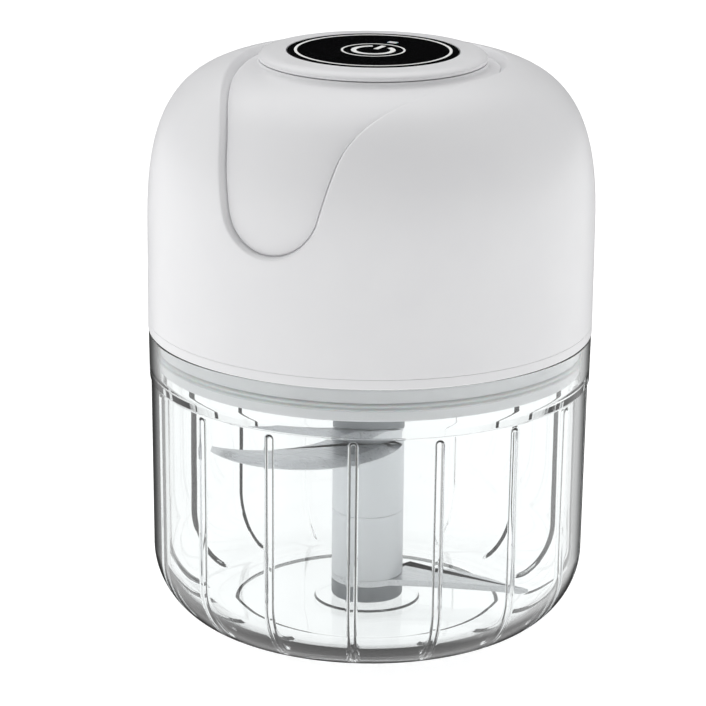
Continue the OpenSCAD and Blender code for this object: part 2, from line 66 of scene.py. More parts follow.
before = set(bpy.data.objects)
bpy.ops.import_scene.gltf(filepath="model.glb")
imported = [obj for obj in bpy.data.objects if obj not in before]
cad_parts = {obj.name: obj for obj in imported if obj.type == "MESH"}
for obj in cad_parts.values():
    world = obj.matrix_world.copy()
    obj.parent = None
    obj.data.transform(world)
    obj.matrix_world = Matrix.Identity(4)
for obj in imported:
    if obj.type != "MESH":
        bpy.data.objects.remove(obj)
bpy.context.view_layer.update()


def low(node, axis):
    """A CAD node's lowest place along an axis, in millimetres to the nearest hundredth."""
    return round(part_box(node)[0][axis] * 1000, 2)


def high(node, axis):
    """A CAD node's highest place along an axis, in millimetres to the nearest hundredth."""
    return round(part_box(node)[1][axis] * 1000, 2)


# ---------------------------------------------------------------- sizes

# Cup
CUP_TOP = high("cup", 2)
WALL_R = 43.4          # outer radius at the rim
STEP_Z = CUP_TOP - 9.5  # outer step below the rim
LOW_R = 42.95          # below the step
FOOT_R = 42.6          # at the top of the rounded corner
CORNER_W, CORNER_H = 13.2, 14.1
CORNER_IN_W = 10.6     # the inner corner, so that the wall stays even round it
CUP_WALL = 1.9
UNDER_Z, FLOOR_Z = 1.0, 2.8
FOOT_IN_R, FOOT_OUT_R = 25.8, 29.4
PAD_R, PAD_Z = 10.4, 3.2
PIN_BOSS_R, PIN_BOSS_Z = 3.9, low("pivot_bush", 2) - 0.3
PIN_R = 2.0
RIB_TOP_Z = STEP_Z - 1.2
RIB_FOOT_R = 32.3

# Head
SEAM_Z = CUP_TOP + 2.0
BODY_R = 43.5
SHELL = 2.4
KNEE_Z = SEAM_Z + 17.5
CROWN_Z = 112.65
CROWN_H = CROWN_Z - KNEE_Z
SKIRT_Z = low("head_base", 2)
SKIRT_R, SKIRT_IN_R = 41.0, 39.2
FLOOR_LOW, FLOOR_TOP = SKIRT_Z + 1.9, SKIRT_Z + 4.1
SPIGOT_TOP = high("head_base", 2)
SCREW_RING_R = 35.0
POST_TOP = SEAM_Z + 13.2

# Finger recess, as an outline seen from the front
RECESS_R = 10.2
RECESS_LOW = CROWN_Z - 30.3
RECESS_LEAN = math.radians(12.5)
RECESS_FLARE = 14.0
RECESS_TOP = CROWN_Z - 0.9

# Button and ring
BEZEL_R, BEZEL_IN_R, NECK_R = 22.03, 16.7, 17.4
SUNK_R = BEZEL_R + 3.77  # edge of the sunken top behind the ring
BEZEL_Z = 112.0
BUTTON_TOP = high("button_symbol", 2)
BUTTON_R = 16.54

# Blade set
STEM_R, CORE_R = 7.1, 5.4
BLADE_T = 1.2
UPPER_TIP, LOWER_TIP = (32.0, 222.6), (33.6, 367.6)  # radius, and angle from +X

# Charging port
PORT_Z = 70.0
PORT_W, PORT_H = 8.94, 3.16
FLAP_W, FLAP_H, FLAP_T, FLAP_GAP = 14.54, 8.56, 1.0, 0.2


# ---------------------------------------------------------------- colours and nodes

def linear(code, alpha=1.0):
    """An sRGB hex colour as linear red, green, blue and alpha."""
    parts = [int(code[i:i + 2], 16) / 255 for i in (1, 3, 5)]
    parts = [c / 12.92 if c <= 0.04045 else ((c + 0.055) / 1.055) ** 2.4 for c in parts]
    return (*parts, alpha)


def add_node(tree, kind, inputs=(), **settings):
    """A node with its settings.  Inputs go by name, or in order; one that is given as a
    socket, or as a node for that node's first output, is linked, and others are set."""
    node = tree.nodes.new(kind)
    for key, value in settings.items():
        setattr(node, key, value)
    for key, value in inputs.items() if isinstance(inputs, dict) else enumerate(inputs):
        if isinstance(value, bpy.types.Node):
            value = value.outputs[0]
        if isinstance(value, bpy.types.NodeSocket):
            tree.links.new(value, node.inputs[key])
        else:
            node.inputs[key].default_value = value
    return node


def new_material(name):
    """An empty node material and its tree."""
    made = bpy.data.materials.new(name)
    made.use_nodes = True
    made.node_tree.nodes.clear()
    return made, made.node_tree


def close_material(made, tree, shader):
    """Links the shader to the material's output."""
    add_node(tree, "ShaderNodeOutputMaterial", {"Surface": shader.outputs["BSDF"]})
    return made


def moulded(name, colour, shade, rough, grain=0.35, depth=0.012, cloud=9.0, spread=0.05,
            **constants):
    """Moulded plastic or rubber: a fine grain in the surface, and a slow change in colour
    and gloss.  grain, depth and cloud are millimetres; constants are the shader's own."""
    made, tree = new_material(name)
    place = add_node(tree, "ShaderNodeTexCoord").outputs["Object"]
    slow = add_node(tree, "ShaderNodeTexNoise",
                    {"Vector": place, "Scale": 1000 / cloud, "Detail": 3.0, "Roughness": 0.55})
    fine = add_node(tree, "ShaderNodeTexNoise",
                    {"Vector": place, "Scale": 1000 / grain, "Detail": 2.0, "Roughness": 0.6})
    tint = add_node(tree, "ShaderNodeMix", {0: slow.outputs["Fac"], 6: linear(colour),
                                            7: linear(shade)}, data_type="RGBA")
    gloss = add_node(tree, "ShaderNodeMapRange", {
        "Value": slow.outputs["Fac"], "From Min": 0.3, "From Max": 0.7,
        "To Min": max(rough - spread, 0.01), "To Max": rough + spread})
    bump = add_node(tree, "ShaderNodeBump", {
        "Height": fine.outputs["Fac"], "Strength": 0.6, "Distance": depth / 1000})
    shader = add_node(tree, "ShaderNodeBsdfPrincipled", {
        "Base Color": tint.outputs[2], "Roughness": gloss.outputs["Result"],
        "Normal": bump.outputs["Normal"], **constants})
    return close_material(made, tree, shader)


def ground_metal(name, colour, shade, rough, line=0.12, length=6.0, turn=0.0, depth=0.004,
                 **constants):
    """Metal with fine lines left by a belt or a lathe.  line and length are the width and
    length of a scratch in millimetres, and turn its direction in the XY plane."""
    made, tree = new_material(name)
    place = add_node(tree, "ShaderNodeTexCoord").outputs["Object"]
    turned = add_node(tree, "ShaderNodeMapping", {
        "Vector": place, "Rotation": (0, 0, -turn),
        "Scale": (1000 / length, 1000 / line, 1000 / line)})
    lines = add_node(tree, "ShaderNodeTexNoise", {
        "Vector": turned.outputs["Vector"], "Scale": 1.0, "Detail": 3.0, "Roughness": 0.7})
    slow = add_node(tree, "ShaderNodeTexNoise",
                    {"Vector": place, "Scale": 150.0, "Detail": 2.0})
    tint = add_node(tree, "ShaderNodeMix", {0: slow.outputs["Fac"], 6: linear(colour),
                                            7: linear(shade)}, data_type="RGBA")
    gloss = add_node(tree, "ShaderNodeMapRange", {
        "Value": lines.outputs["Fac"], "From Min": 0.3, "From Max": 0.7,
        "To Min": rough * 0.75, "To Max": rough * 1.25})
    bump = add_node(tree, "ShaderNodeBump", {
        "Height": lines.outputs["Fac"], "Strength": 0.5, "Distance": depth / 1000})
    shader = add_node(tree, "ShaderNodeBsdfPrincipled", {
        "Base Color": tint.outputs[2], "Metallic": 1.0, "Roughness": gloss.outputs["Result"],
        "Normal": bump.outputs["Normal"], **constants})
    return close_material(made, tree, shader)


def clear_cup_plastic(tint, rough):
    """Styrene-acrylonitrile, injection moulded and polished: clear as glass, with a very
    slight waviness from the mould that bends what is seen through it."""
    made, tree = new_material("Clear SAN, polished moulding")
    place = add_node(tree, "ShaderNodeTexCoord").outputs["Object"]
    wave = add_node(tree, "ShaderNodeTexNoise",
                    {"Vector": place, "Scale": 1000 / 14, "Detail": 1.0})
    bump = add_node(tree, "ShaderNodeBump", {
        "Height": wave.outputs["Fac"], "Strength": 0.3, "Distance": 0.00004})
    shader = add_node(tree, "ShaderNodeBsdfPrincipled", {
        "Base Color": (*tint, 1.0), "Roughness": rough, "IOR": 1.57,
        "Transmission Weight": 1.0, "Normal": bump.outputs["Normal"]})
    return close_material(made, tree, shader)


MATERIALS = {}


def material(slot, look):
    """The material of a record slot, made once."""
    if slot not in MATERIALS:
        MATERIALS[slot] = MAKERS[slot](look)
    return MATERIALS[slot]


MAKERS = {
    # clear moulding: what is behind shows, edges go dark where light is bent away
    "clear_cup": lambda look: clear_cup_plastic(look.cup_tint, 0.012),
    # acrylonitrile butadiene styrene from a satin mould: soft broad highlight, faint grain
    "white_plastic": lambda look: moulded(
        "White ABS, satin moulded", look.white, look.white_shade, 0.36, IOR=1.53),
    # acetal: a little creamier and slicker than the housing
    "white_acetal": lambda look: moulded(
        "White acetal, moulded", "#EDECE6", "#E4E3DC", 0.3, IOR=1.48),
    # polypropylene: waxy, soft grey
    "pale_grey_plastic": lambda look: moulded(
        "Pale grey polypropylene, moulded", look.stem, look.stem_shade, 0.38, IOR=1.49),
    # glass-filled nylon: darker, duller, with a coarse flow grain
    "grey_plastic": lambda look: moulded(
        "Grey glass-filled nylon, moulded", "#8A8D90", "#7C7F82", 0.45, 0.5, 0.02, 5.0, IOR=1.53),
    # polished acrylic over black: deep, mirror-like, hardly any grain
    "black_gloss": lambda look: moulded(
        "Black acrylic, polished", "#070708", "#0B0B0D", 0.07, 3.0, 0.002, 20.0, 0.02, IOR=1.49,
        **{"Specular IOR Level": 0.1}),
    # pad-printed ink: flat white, slightly rough at its skin
    "white_print": lambda look: moulded(
        "White printing ink", "#F4F4F2", "#ECECEA", 0.5, 0.12, 0.004, 3.0, IOR=1.5),
    # milky polycarbonate: pale and soft, light spreads in it
    "light_guide": lambda look: moulded(
        "Milky polycarbonate, moulded", "#F3F6F8", "#E8EEF2", 0.25, 0.4, 0.004, 4.0,
        IOR=1.58, **{"Subsurface Weight": 0.3, "Subsurface Scale": 0.001}),
    # silicone rubber: dull, slightly see-through at its lips
    "silicone": lambda look: moulded(
        "Pale silicone rubber", "#DADCDC", "#CFD2D2", 0.55, 0.25, 0.01, 6.0,
        IOR=1.41, **{"Subsurface Weight": 0.25, "Subsurface Scale": 0.0012}),
    # carbon-filled silicone: near black, dull, soft at its edge
    "dark_silicone": lambda look: moulded(
        "Black silicone rubber", "#1B1C1E", "#242527", 0.6, 0.25, 0.01, 6.0, IOR=1.41),
    # turned and passivated stainless steel: tight rings of brightness
    "steel": lambda look: ground_metal(
        "Stainless steel, turned", "#C9CBCD", "#B9BBBE", 0.24, 0.15, 3.0),
    # belt-ground stainless steel: long fine lines across the blade, soft streaky shine
    "blade_steel": lambda look: ground_metal(
        "Stainless steel, belt ground", look.blade, look.blade_shade, 0.3, 0.14, 7.0,
        math.radians(UPPER_TIP[1] + 90)),
    # sintered strontium ferrite: charcoal, chalky, with tiny pits
    "ferrite": lambda look: moulded(
        "Sintered ferrite", "#35373A", "#2B2D30", 0.62, 0.2, 0.03, 2.0, IOR=2.2),
    # oil-filled sintered bronze: brown-gold with open pores
    "bronze": lambda look: ground_metal(
        "Sintered bronze", "#A9783F", "#8D6233", 0.42, 0.3, 0.4, 0.0, 0.02),
    # enamelled copper wire: orange-brown with a varnish shine, wound in 0.4 mm turns
    "copper": lambda look: ground_metal(
        "Enamelled copper winding", "#B8693A", "#9C532B", 0.3, 0.4, 12.0, 0.0, 0.05,
        **{"Coat Weight": 0.5}),
    # solder mask on glass-fibre board: bottle green, with the weave just showing
    "board_green": lambda look: moulded(
        "Green solder mask", "#1F6B43", "#185A38", 0.32, 0.6, 0.01, 3.0, 0.06, IOR=1.52),
    # glass-filled polybutylene terephthalate: black with a faint dry haze
    "dark_plastic": lambda look: moulded(
        "Black polybutylene terephthalate", "#202225", "#2A2C2F", 0.42, 0.3, 0.012, 5.0, IOR=1.55),
    # heat-shrunk polyester sleeve: strong blue, glossy and slightly puckered
    "cell_wrap": lambda look: moulded(
        "Blue shrink sleeve", "#2F6FA8", "#28639A", 0.2, 2.5, 0.03, 8.0, IOR=1.57),
    # plasticised polyvinyl chloride: saturated red, half glossy, very even
    "wire_jacket": lambda look: moulded(
        "Red PVC wire jacket", "#A82A26", "#96221F", 0.4, 0.3, 0.008, 3.0, IOR=1.54),
}


# ---------------------------------------------------------------- shapes

def rounded(corners, steps=5):
    """Profile points (r, z) from corners (r, z) or (r, z, length); a corner with a length
    is rounded from that far before it to that far after it, with a guard point beside."""
    out = []
    last = len(corners) - 1
    for i, corner in enumerate(corners):
        point = Vector(corner[:2])
        if len(corner) < 3:
            out.append(tuple(point))
            continue
        before = Vector(corners[i - 1][:2]) - point
        after = Vector(corners[0 if i == last else i + 1][:2]) - point
        reach = min(corner[2], before.length * 0.48, after.length * 0.48)
        a, b = point + before.normalized() * reach, point + after.normalized() * reach
        if before.length > 2.4 * reach:
            out.append(tuple(point + before.normalized() * reach * 1.15))
        for k in range(steps + 1):
            t = k / steps
            out.append(tuple(a * (1 - t) ** 2 + point * 2 * t * (1 - t) + b * t * t))
        if after.length > 2.4 * reach:
            out.append(tuple(point + after.normalized() * reach * 1.15))
    return out


def even(count):
    """Angles all round, evenly spaced."""
    return [2 * math.pi * i / count for i in range(count)]


def lathe(profile, angles, closed=True):
    """Points and faces of a profile turned about Z.  A radius may be a function of the
    angle, and a radius of nought is one point on the axis."""
    points, rows, faces = [], [], []
    count = len(angles)
    for r, z in profile:
        if not callable(r) and r < 1e-6:
            rows.append([len(points)] * count)
            points.append((0.0, 0.0, z))
            continue
        rows.append(list(range(len(points), len(points) + count)))
        for a in angles:
            q = r(a) if callable(r) else r
            points.append((q * math.cos(a), q * math.sin(a), z))
    pairs = list(zip(rows, rows[1:])) + ([(rows[-1], rows[0])] if closed else [])
    for one, two in pairs:
        for k in range(count):
            m = (k + 1) % count
            loop = []
            for v in (one[k], one[m], two[m], two[k]):
                if v not in loop:
                    loop.append(v)
            if len(loop) > 2:
                faces.append(loop)
    return points, faces


def tube(r_out, r_in, z0, z1, x=0.0, y=0.0, soft=0.3, count=40):
    """A short tube standing at x, y."""
    points, faces = lathe(rounded([(r_in, z0), (r_out, z0, soft), (r_out, z1, soft),
                                   (r_in, z1)], 3), even(count))
    return [(p[0] + x, p[1] + y, p[2]) for p in points], faces


def block(low_corner, high_corner, soft=0.2, turn=None):
    """A box with its edges rounded, turned by a matrix."""
    work = bmesh.new()
    bmesh.ops.create_cube(work, size=1.0)
    lo, hi = Vector(low_corner), Vector(high_corner)
    for v in work.verts:
        v.co = Vector(((v.co.x + 0.5) * (hi.x - lo.x) + lo.x,
                       (v.co.y + 0.5) * (hi.y - lo.y) + lo.y,
                       (v.co.z + 0.5) * (hi.z - lo.z) + lo.z))
    bmesh.ops.bevel(work, geom=work.edges[:], offset=soft, segments=3, profile=0.5,
                    affect="EDGES")
    work.verts.index_update()
    points = [tuple((turn or Matrix()) @ v.co) for v in work.verts]
    faces = [[v.index for v in f.verts] for f in work.faces]
    work.free()
    return points, faces


def sector(r_in, r_out, z0, z1, a0, a1, count=8):
    """A block bent round Z between two angles."""
    points, faces = [], []
    for i in range(count + 1):
        a = a0 + (a1 - a0) * i / count
        for r, z in ((r_in, z0), (r_out, z0), (r_out, z1), (r_in, z1)):
            points.append((r * math.cos(a), r * math.sin(a), z))
    for i in range(count):
        for k in range(4):
            m = (k + 1) % 4
            faces.append([4 * i + k, 4 * i + m, 4 * i + 4 + m, 4 * i + 4 + k])
    faces += [[0, 1, 2, 3], [4 * count + k for k in (3, 2, 1, 0)]]
    return points, faces


def make_mesh(name, parts, crease=32.0, turn_out=True):
    """A mesh in metres from (points, faces) parts in millimetres, smooth but for creases."""
    work = bmesh.new()
    for points, faces in parts:
        verts = [work.verts.new(Vector(p) / 1000) for p in points]
        for f in faces:
            try:
                work.faces.new([verts[i] for i in f])
            except ValueError:
                pass
    bmesh.ops.delete(work, geom=[v for v in work.verts if not v.link_faces], context="VERTS")
    if turn_out:
        bmesh.ops.recalc_face_normals(work, faces=work.faces[:])
    mesh = bpy.data.meshes.new(name)
    work.to_mesh(mesh)
    work.free()
    mesh.shade_smooth()
    mesh.set_sharp_from_angle(angle=math.radians(crease))
    return mesh


def show(name, mesh):
    """A new object at the origin that shows a mesh."""
    thing = bpy.data.objects.new(name, mesh)
    bpy.context.scene.collection.objects.link(thing)
    return thing


def settle(thing, body, slot, *nodes):
    """Gives a finished piece the material of its slot, hangs it on its body, and hides the CAD
    nodes it stands for.
    """
    thing.data.materials.clear()
    thing.data.materials.append(material(slot, bpy.context.scene.processor_finish))
    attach(thing, body)
    if nodes:
        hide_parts(*nodes)
    return thing


def bake_nodes(thing):
    """Turns what a piece's modifiers make into its plain mesh, and removes them."""
    bpy.context.view_layer.update()
    graph = bpy.context.evaluated_depsgraph_get()
    mesh = bpy.data.meshes.new_from_object(thing.evaluated_get(graph))
    thing.modifiers.clear()
    thing.data = mesh
    return thing


def give_nodes(thing, tree, values):
    """Adds a Geometry Nodes modifier and sets its inputs by their identifiers."""
    modifier = thing.modifiers.new(tree.name, "NODES")
    modifier.node_group = tree
    ids = {item.name: item.identifier for item in tree.interface.items_tree
           if item.item_type == "SOCKET" and item.in_out == "INPUT"}
    for key, value in values.items():
        modifier[ids[key]] = value
    return modifier


def new_tree(name, inputs):
    """A Geometry Nodes tree with a geometry in and out and named inputs; returns the tree
    and its input and output nodes."""
    tree = bpy.data.node_groups.new(name, "GeometryNodeTree")
    tree.interface.new_socket("Geometry", in_out="INPUT", socket_type="NodeSocketGeometry")
    tree.interface.new_socket("Geometry", in_out="OUTPUT", socket_type="NodeSocketGeometry")
    for label, kind, value in inputs:
        socket = tree.interface.new_socket(label, in_out="INPUT", socket_type=kind)
        if value is not None:
            socket.default_value = value
    return tree, add_node(tree, "NodeGroupInput"), add_node(tree, "NodeGroupOutput")


def end_tree(tree, given, result, geometry_out):
    """Ends a tree in Realize Instances and Set Material."""
    real = add_node(tree, "GeometryNodeRealizeInstances", {"Geometry": geometry_out})
    dressed = add_node(tree, "GeometryNodeSetMaterial", {
        "Geometry": real.outputs["Geometry"], "Material": given.outputs["Material"]})
    tree.links.new(dressed.outputs["Geometry"], result.inputs["Geometry"])


# ---------------------------------------------------------------- settings

class CupSettings(bpy.types.PropertyGroup):
    """Sizes of the cup's ribs."""
    rib_count: bpy.props.IntProperty(
        name="Ribs", description="Number of ribs inside the wall", default=16, min=4, max=32)
    rib_width: bpy.props.FloatProperty(
        name="Rib width", description="Width of a rib at its foot", default=0.0018,
        min=0.001, max=0.004, unit="LENGTH", precision=5)
    rib_height: bpy.props.FloatProperty(
        name="Rib height", description="How far a rib stands off the wall", default=0.0008,
        min=0.0002, max=0.0015, unit="LENGTH", precision=5)


class DomeSettings(bpy.types.PropertyGroup):
    """Sizes of the finger recess."""
    recess_depth: bpy.props.FloatProperty(
        name="Recess depth", description="Depth of the finger recess", default=0.00135,
        min=0.0002, max=0.002, unit="LENGTH", precision=5)
    rim_width: bpy.props.FloatProperty(
        name="Rim width", description="Width of the slope at the recess's edge",
        default=0.0004, min=0.0002, max=0.0012, unit="LENGTH", precision=5)


class BladeSettings(bpy.types.PropertyGroup):
    """Sizes of the ground edges."""
    grind_width: bpy.props.FloatProperty(
        name="Grind width", description="Width of the ground face along a cutting edge",
        default=0.0026, min=0.0005, max=0.005, unit="LENGTH", precision=5)
    edge_land: bpy.props.FloatProperty(
        name="Edge land", description="Thickness left at a cutting edge", default=0.0002,
        min=0.00005, max=0.0006, unit="LENGTH", precision=5)


class FinishSettings(bpy.types.PropertyGroup):
    """Colours of the pieces, as hex codes."""
    white: bpy.props.StringProperty(
        name="Housing", description="Colour of the housing", default="#E9E9EA")
    white_shade: bpy.props.StringProperty(
        name="Housing, second", description="Colour that the housing's tone drifts to",
        default="#E5E5E7")
    stem: bpy.props.StringProperty(
        name="Stem", description="Colour of the blade stem", default="#D8DADC")
    stem_shade: bpy.props.StringProperty(
        name="Stem, second", description="Colour that the stem's tone drifts to",
        default="#D0D2D5")
    blade: bpy.props.StringProperty(
        name="Blade", description="Colour of the blades", default="#DEDFE1")
    blade_shade: bpy.props.StringProperty(
        name="Blade, second", description="Colour that the blades' tone drifts to",
        default="#D2D4D6")
    cup_tint: bpy.props.FloatVectorProperty(
        name="Cup tint", description="Tint of the clear cup", subtype="COLOR", size=3,
        default=linear("#FBFDFD")[:3], min=0.0, max=1.0)


class StageSettings(bpy.types.PropertyGroup):
    """Light and floor."""
    sky: bpy.props.FloatProperty(
        name="Sky", description="Strength of the even light from all round", default=1.21,
        min=0.0, max=5.0)
    front_shade: bpy.props.FloatProperty(
        name="Front shade", description="Share of the sky's light lost on the camera's side",
        default=1.0, min=0.0, max=1.0, subtype="FACTOR")
    rear_shade: bpy.props.FloatProperty(
        name="Rear shade", description="Share of the light lost behind the object",
        default=0.55, min=0.0, max=1.0, subtype="FACTOR")
    ceiling: bpy.props.FloatProperty(
        name="Ceiling", description="Extra light from above and behind", default=1.1, min=0.0,
        max=5.0)
    panel: bpy.props.FloatProperty(
        name="Panel", description="Brightness of the overhead panel that gloss mirrors",
        default=1.0, min=0.0, max=20.0)
    room: bpy.props.FloatProperty(
        name="Room", description="Brightness of the dim room that thick clear edges show",
        default=0.02, min=0.0, max=2.0)
    cup_light: bpy.props.FloatProperty(
        name="Cup light", description="Gain of the soft light on what stands in the cup",
        default=1.5, min=0.0, max=5.0)
    table: bpy.props.FloatProperty(
        name="Table", description="Brightness of the table as it lights the cup's inside",
        default=1.5, min=0.0, max=5.0)
    floor_glow: bpy.props.FloatProperty(
        name="Floor glow", description="Light that the table gives from below", default=0.8,
        min=0.0, max=5.0)
    key: bpy.props.FloatProperty(
        name="Key", description="Power of the large light at the upper left", default=0.65,
        min=0.0, max=100.0, unit="POWER")
    fill: bpy.props.FloatProperty(
        name="Fill", description="Power of the large light at the upper right", default=0.4,
        min=0.0, max=100.0, unit="POWER")
    floor_colour: bpy.props.FloatVectorProperty(
        name="Floor", description="Colour of the floor", subtype="COLOR", size=3,
        default=linear("#B8B8B8")[:3], min=0.0, max=1.0)


# ---------------------------------------------------------------- cup

def corner(r, w, h, z, steps):
    """Quarter superellipse from a wall at radius r down to a floor at height z."""
    power = 2 / 1.9
    turns = [math.pi / 2 * i / steps for i in range(steps + 1)]
    return [(r - w + w * max(math.cos(t), 0.0) ** power, z + h - h * math.sin(t) ** power)
            for t in turns]


def cup_profile():
    """The cup's section from the middle of its underside round to the pin's hole."""
    outer = corner(FOOT_R, CORNER_W, CORNER_H, 0.0, 22)[::-1]
    bottom = rounded([(0, UNDER_Z), (FOOT_IN_R, UNDER_Z, 0.3), (FOOT_IN_R + 0.4, 0.0, 0.35),
                      (FOOT_OUT_R, 0.0)])[:-1]
    wall = rounded([outer[-1], (LOW_R, STEP_Z - 0.3, 0.1), (LOW_R + 0.3, STEP_Z + 0.05, 0.1),
                    (WALL_R, CUP_TOP, 0.4), (WALL_R - CUP_WALL, CUP_TOP, 0.4),
                    (WALL_R - CUP_WALL, STEP_Z + 1.6, 0.5), (LOW_R - CUP_WALL, STEP_Z - 0.4, 0.5),
                    (LOW_R - CUP_WALL, STEP_Z - 0.55)])[1:-1]
    top_r, foot_r = LOW_R - CUP_WALL, FOOT_R - CUP_WALL

    def well_r(z):
        return foot_r + (top_r - foot_r) * (z - CORNER_H) / (STEP_Z - 0.4 - CORNER_H)

    heights = [RIB_TOP_Z + 0.3 - 0.16 * k for k in range(15)]
    heights += [heights[-1] + (CORNER_H - heights[-1]) * k / 9 for k in range(1, 9)]
    inner = [(well_r(z), z) for z in heights]
    inner += corner(foot_r, CORNER_IN_W, CORNER_H - FLOOR_Z, FLOOR_Z, 30)
    middle = rounded([(foot_r - CORNER_IN_W, FLOOR_Z), (24.0, FLOOR_Z), (16.0, FLOOR_Z),
                      (PAD_R, FLOOR_Z, 0.2), (PAD_R, PAD_Z, 0.2), (PIN_BOSS_R, PAD_Z, 0.4),
                      (PIN_BOSS_R, PIN_BOSS_Z, 0.35), (PIN_R + 0.03, PIN_BOSS_Z, 0.15),
                      (PIN_R + 0.03, 1.9), (0, 1.9)])[1:]
    return bottom + outer + wall + inner + middle


def rib_tree():
    """Lifts a rounded rib off the cup's inner wall at even turns; each runs down from its
    top and round the corner to its foot."""
    tree, given, result = new_tree("Cup ribs", [
        ("Ribs", "NodeSocketInt", 16), ("Width", "NodeSocketFloat", 0.0018),
        ("Height", "NodeSocketFloat", 0.0008), ("Top", "NodeSocketFloat", 0.048),
        ("Foot", "NodeSocketFloat", 0.032), ("Material", "NodeSocketMaterial", None)])

    width = given.outputs["Width"]
    half = add_node(tree, "ShaderNodeMath", (width, 0.5), operation="MULTIPLY")
    place = add_node(tree, "ShaderNodeSeparateXYZ", {
        "Vector": add_node(tree, "GeometryNodeInputPosition")})
    x, y, z = (place.outputs[k] for k in "XYZ")
    flat = add_node(tree, "ShaderNodeCombineXYZ", {"X": x, "Y": y})
    radius = add_node(tree, "ShaderNodeVectorMath", {0: flat},
                      operation="LENGTH").outputs["Value"]
    # how far round the wall the nearest rib's middle is
    ribs = given.outputs["Ribs"]
    pitch = add_node(tree, "ShaderNodeMath", (2 * math.pi, ribs), operation="DIVIDE")
    turn = add_node(tree, "ShaderNodeMath", (y, x), operation="ARCTAN2")
    turn = add_node(tree, "ShaderNodeMath", (turn, math.pi / 2), operation="ADD")
    part = add_node(tree, "ShaderNodeMath", (turn, pitch), operation="DIVIDE")
    part = add_node(tree, "ShaderNodeMath", (part, 0.5), operation="ADD")
    part = add_node(tree, "ShaderNodeMath", (part,), operation="FRACT")
    part = add_node(tree, "ShaderNodeMath", (part, 0.5), operation="SUBTRACT")
    side = add_node(tree, "ShaderNodeMath", (part, pitch), operation="MULTIPLY")
    side = add_node(tree, "ShaderNodeMath", (side, radius), operation="MULTIPLY")
    # how far past the rib's round top, and how far in past its foot
    above = add_node(tree, "ShaderNodeMath", (z, given.outputs["Top"]), operation="SUBTRACT")
    above = add_node(tree, "ShaderNodeMath", (above, half), operation="ADD")
    above = add_node(tree, "ShaderNodeMath", (above, 0.0), operation="MAXIMUM")
    inside = add_node(tree, "ShaderNodeMath", (given.outputs["Foot"], half), operation="ADD")
    inside = add_node(tree, "ShaderNodeMath", (inside, radius), operation="SUBTRACT")
    inside = add_node(tree, "ShaderNodeMath", (inside, 0.0), operation="MAXIMUM")
    away = add_node(tree, "ShaderNodeCombineXYZ", (side, above, inside))
    away = add_node(tree, "ShaderNodeVectorMath", {0: away}, operation="LENGTH").outputs["Value"]
    crown = add_node(tree, "ShaderNodeMath", (width, 0.22), operation="MULTIPLY")
    lift = add_node(tree, "ShaderNodeMapRange", (away, crown, half, given.outputs["Height"], 0.0),
                    interpolation_type="SMOOTHSTEP")
    facing = add_node(tree, "GeometryNodeInputNormal").outputs["Normal"]
    inward = add_node(tree, "ShaderNodeVectorMath", {0: facing, 1: flat},
                      operation="DOT_PRODUCT").outputs["Value"]
    cavity = add_node(tree, "FunctionNodeCompare", {0: inward, 1: -0.0005},
                      operation="LESS_THAN", data_type="FLOAT").outputs["Result"]
    offset = add_node(tree, "ShaderNodeVectorMath", {0: facing, "Scale": lift},
                      operation="SCALE").outputs["Vector"]
    moved = add_node(tree, "GeometryNodeSetPosition", {
        "Geometry": given.outputs["Geometry"], "Selection": cavity, "Offset": offset})
    end_tree(tree, given, result, moved.outputs["Geometry"])
    return tree


class PROCESSOR_OT_cup(bpy.types.Operator):
    """Make the clear ribbed cup"""
    bl_idname = "processor.cup"
    bl_label = "Cup"

    def execute(self, context):
        want = context.scene.processor_cup
        finish = context.scene.processor_finish
        pitch = 2 * math.pi / want.rib_count
        marks = [0.0, 0.25, 0.42, 0.54, 0.66, 0.78, 0.92, 1.15, 1.7, 2.8, 4.4, 6.2]
        side = [m / (LOW_R - CUP_WALL) for m in marks] + [pitch / 2]
        turns = [-s for s in side[:0:-1]] + side[:-1]
        angles = [-math.pi / 2 + pitch * k + t for k in range(want.rib_count) for t in turns]
        cup = show("clear_cup", make_mesh("clear_cup", [lathe(cup_profile(), angles, False)]))
        give_nodes(cup, rib_tree(), {
            "Ribs": want.rib_count, "Width": want.rib_width, "Height": want.rib_height,
            "Top": RIB_TOP_Z / 1000, "Foot": RIB_FOOT_R / 1000,
            "Material": material("clear_cup", finish)})
        bake_nodes(cup)
        cup.data.shade_smooth()
        cup.data.set_sharp_from_angle(angle=math.radians(50))
        settle(cup, "cup", "clear_cup", "cup")
        pin = show("turned_pin", make_mesh("turned_pin", [lathe(rounded(
            [(0, 1.9), (PIN_R, 1.9, 0.2), (PIN_R, high("pivot_pin", 2), 0.5),
             (0, high("pivot_pin", 2))]), even(48), False)]))
        settle(pin, "cup", "steel", "pivot_pin")
        return {"FINISHED"}


# ---------------------------------------------------------------- dome

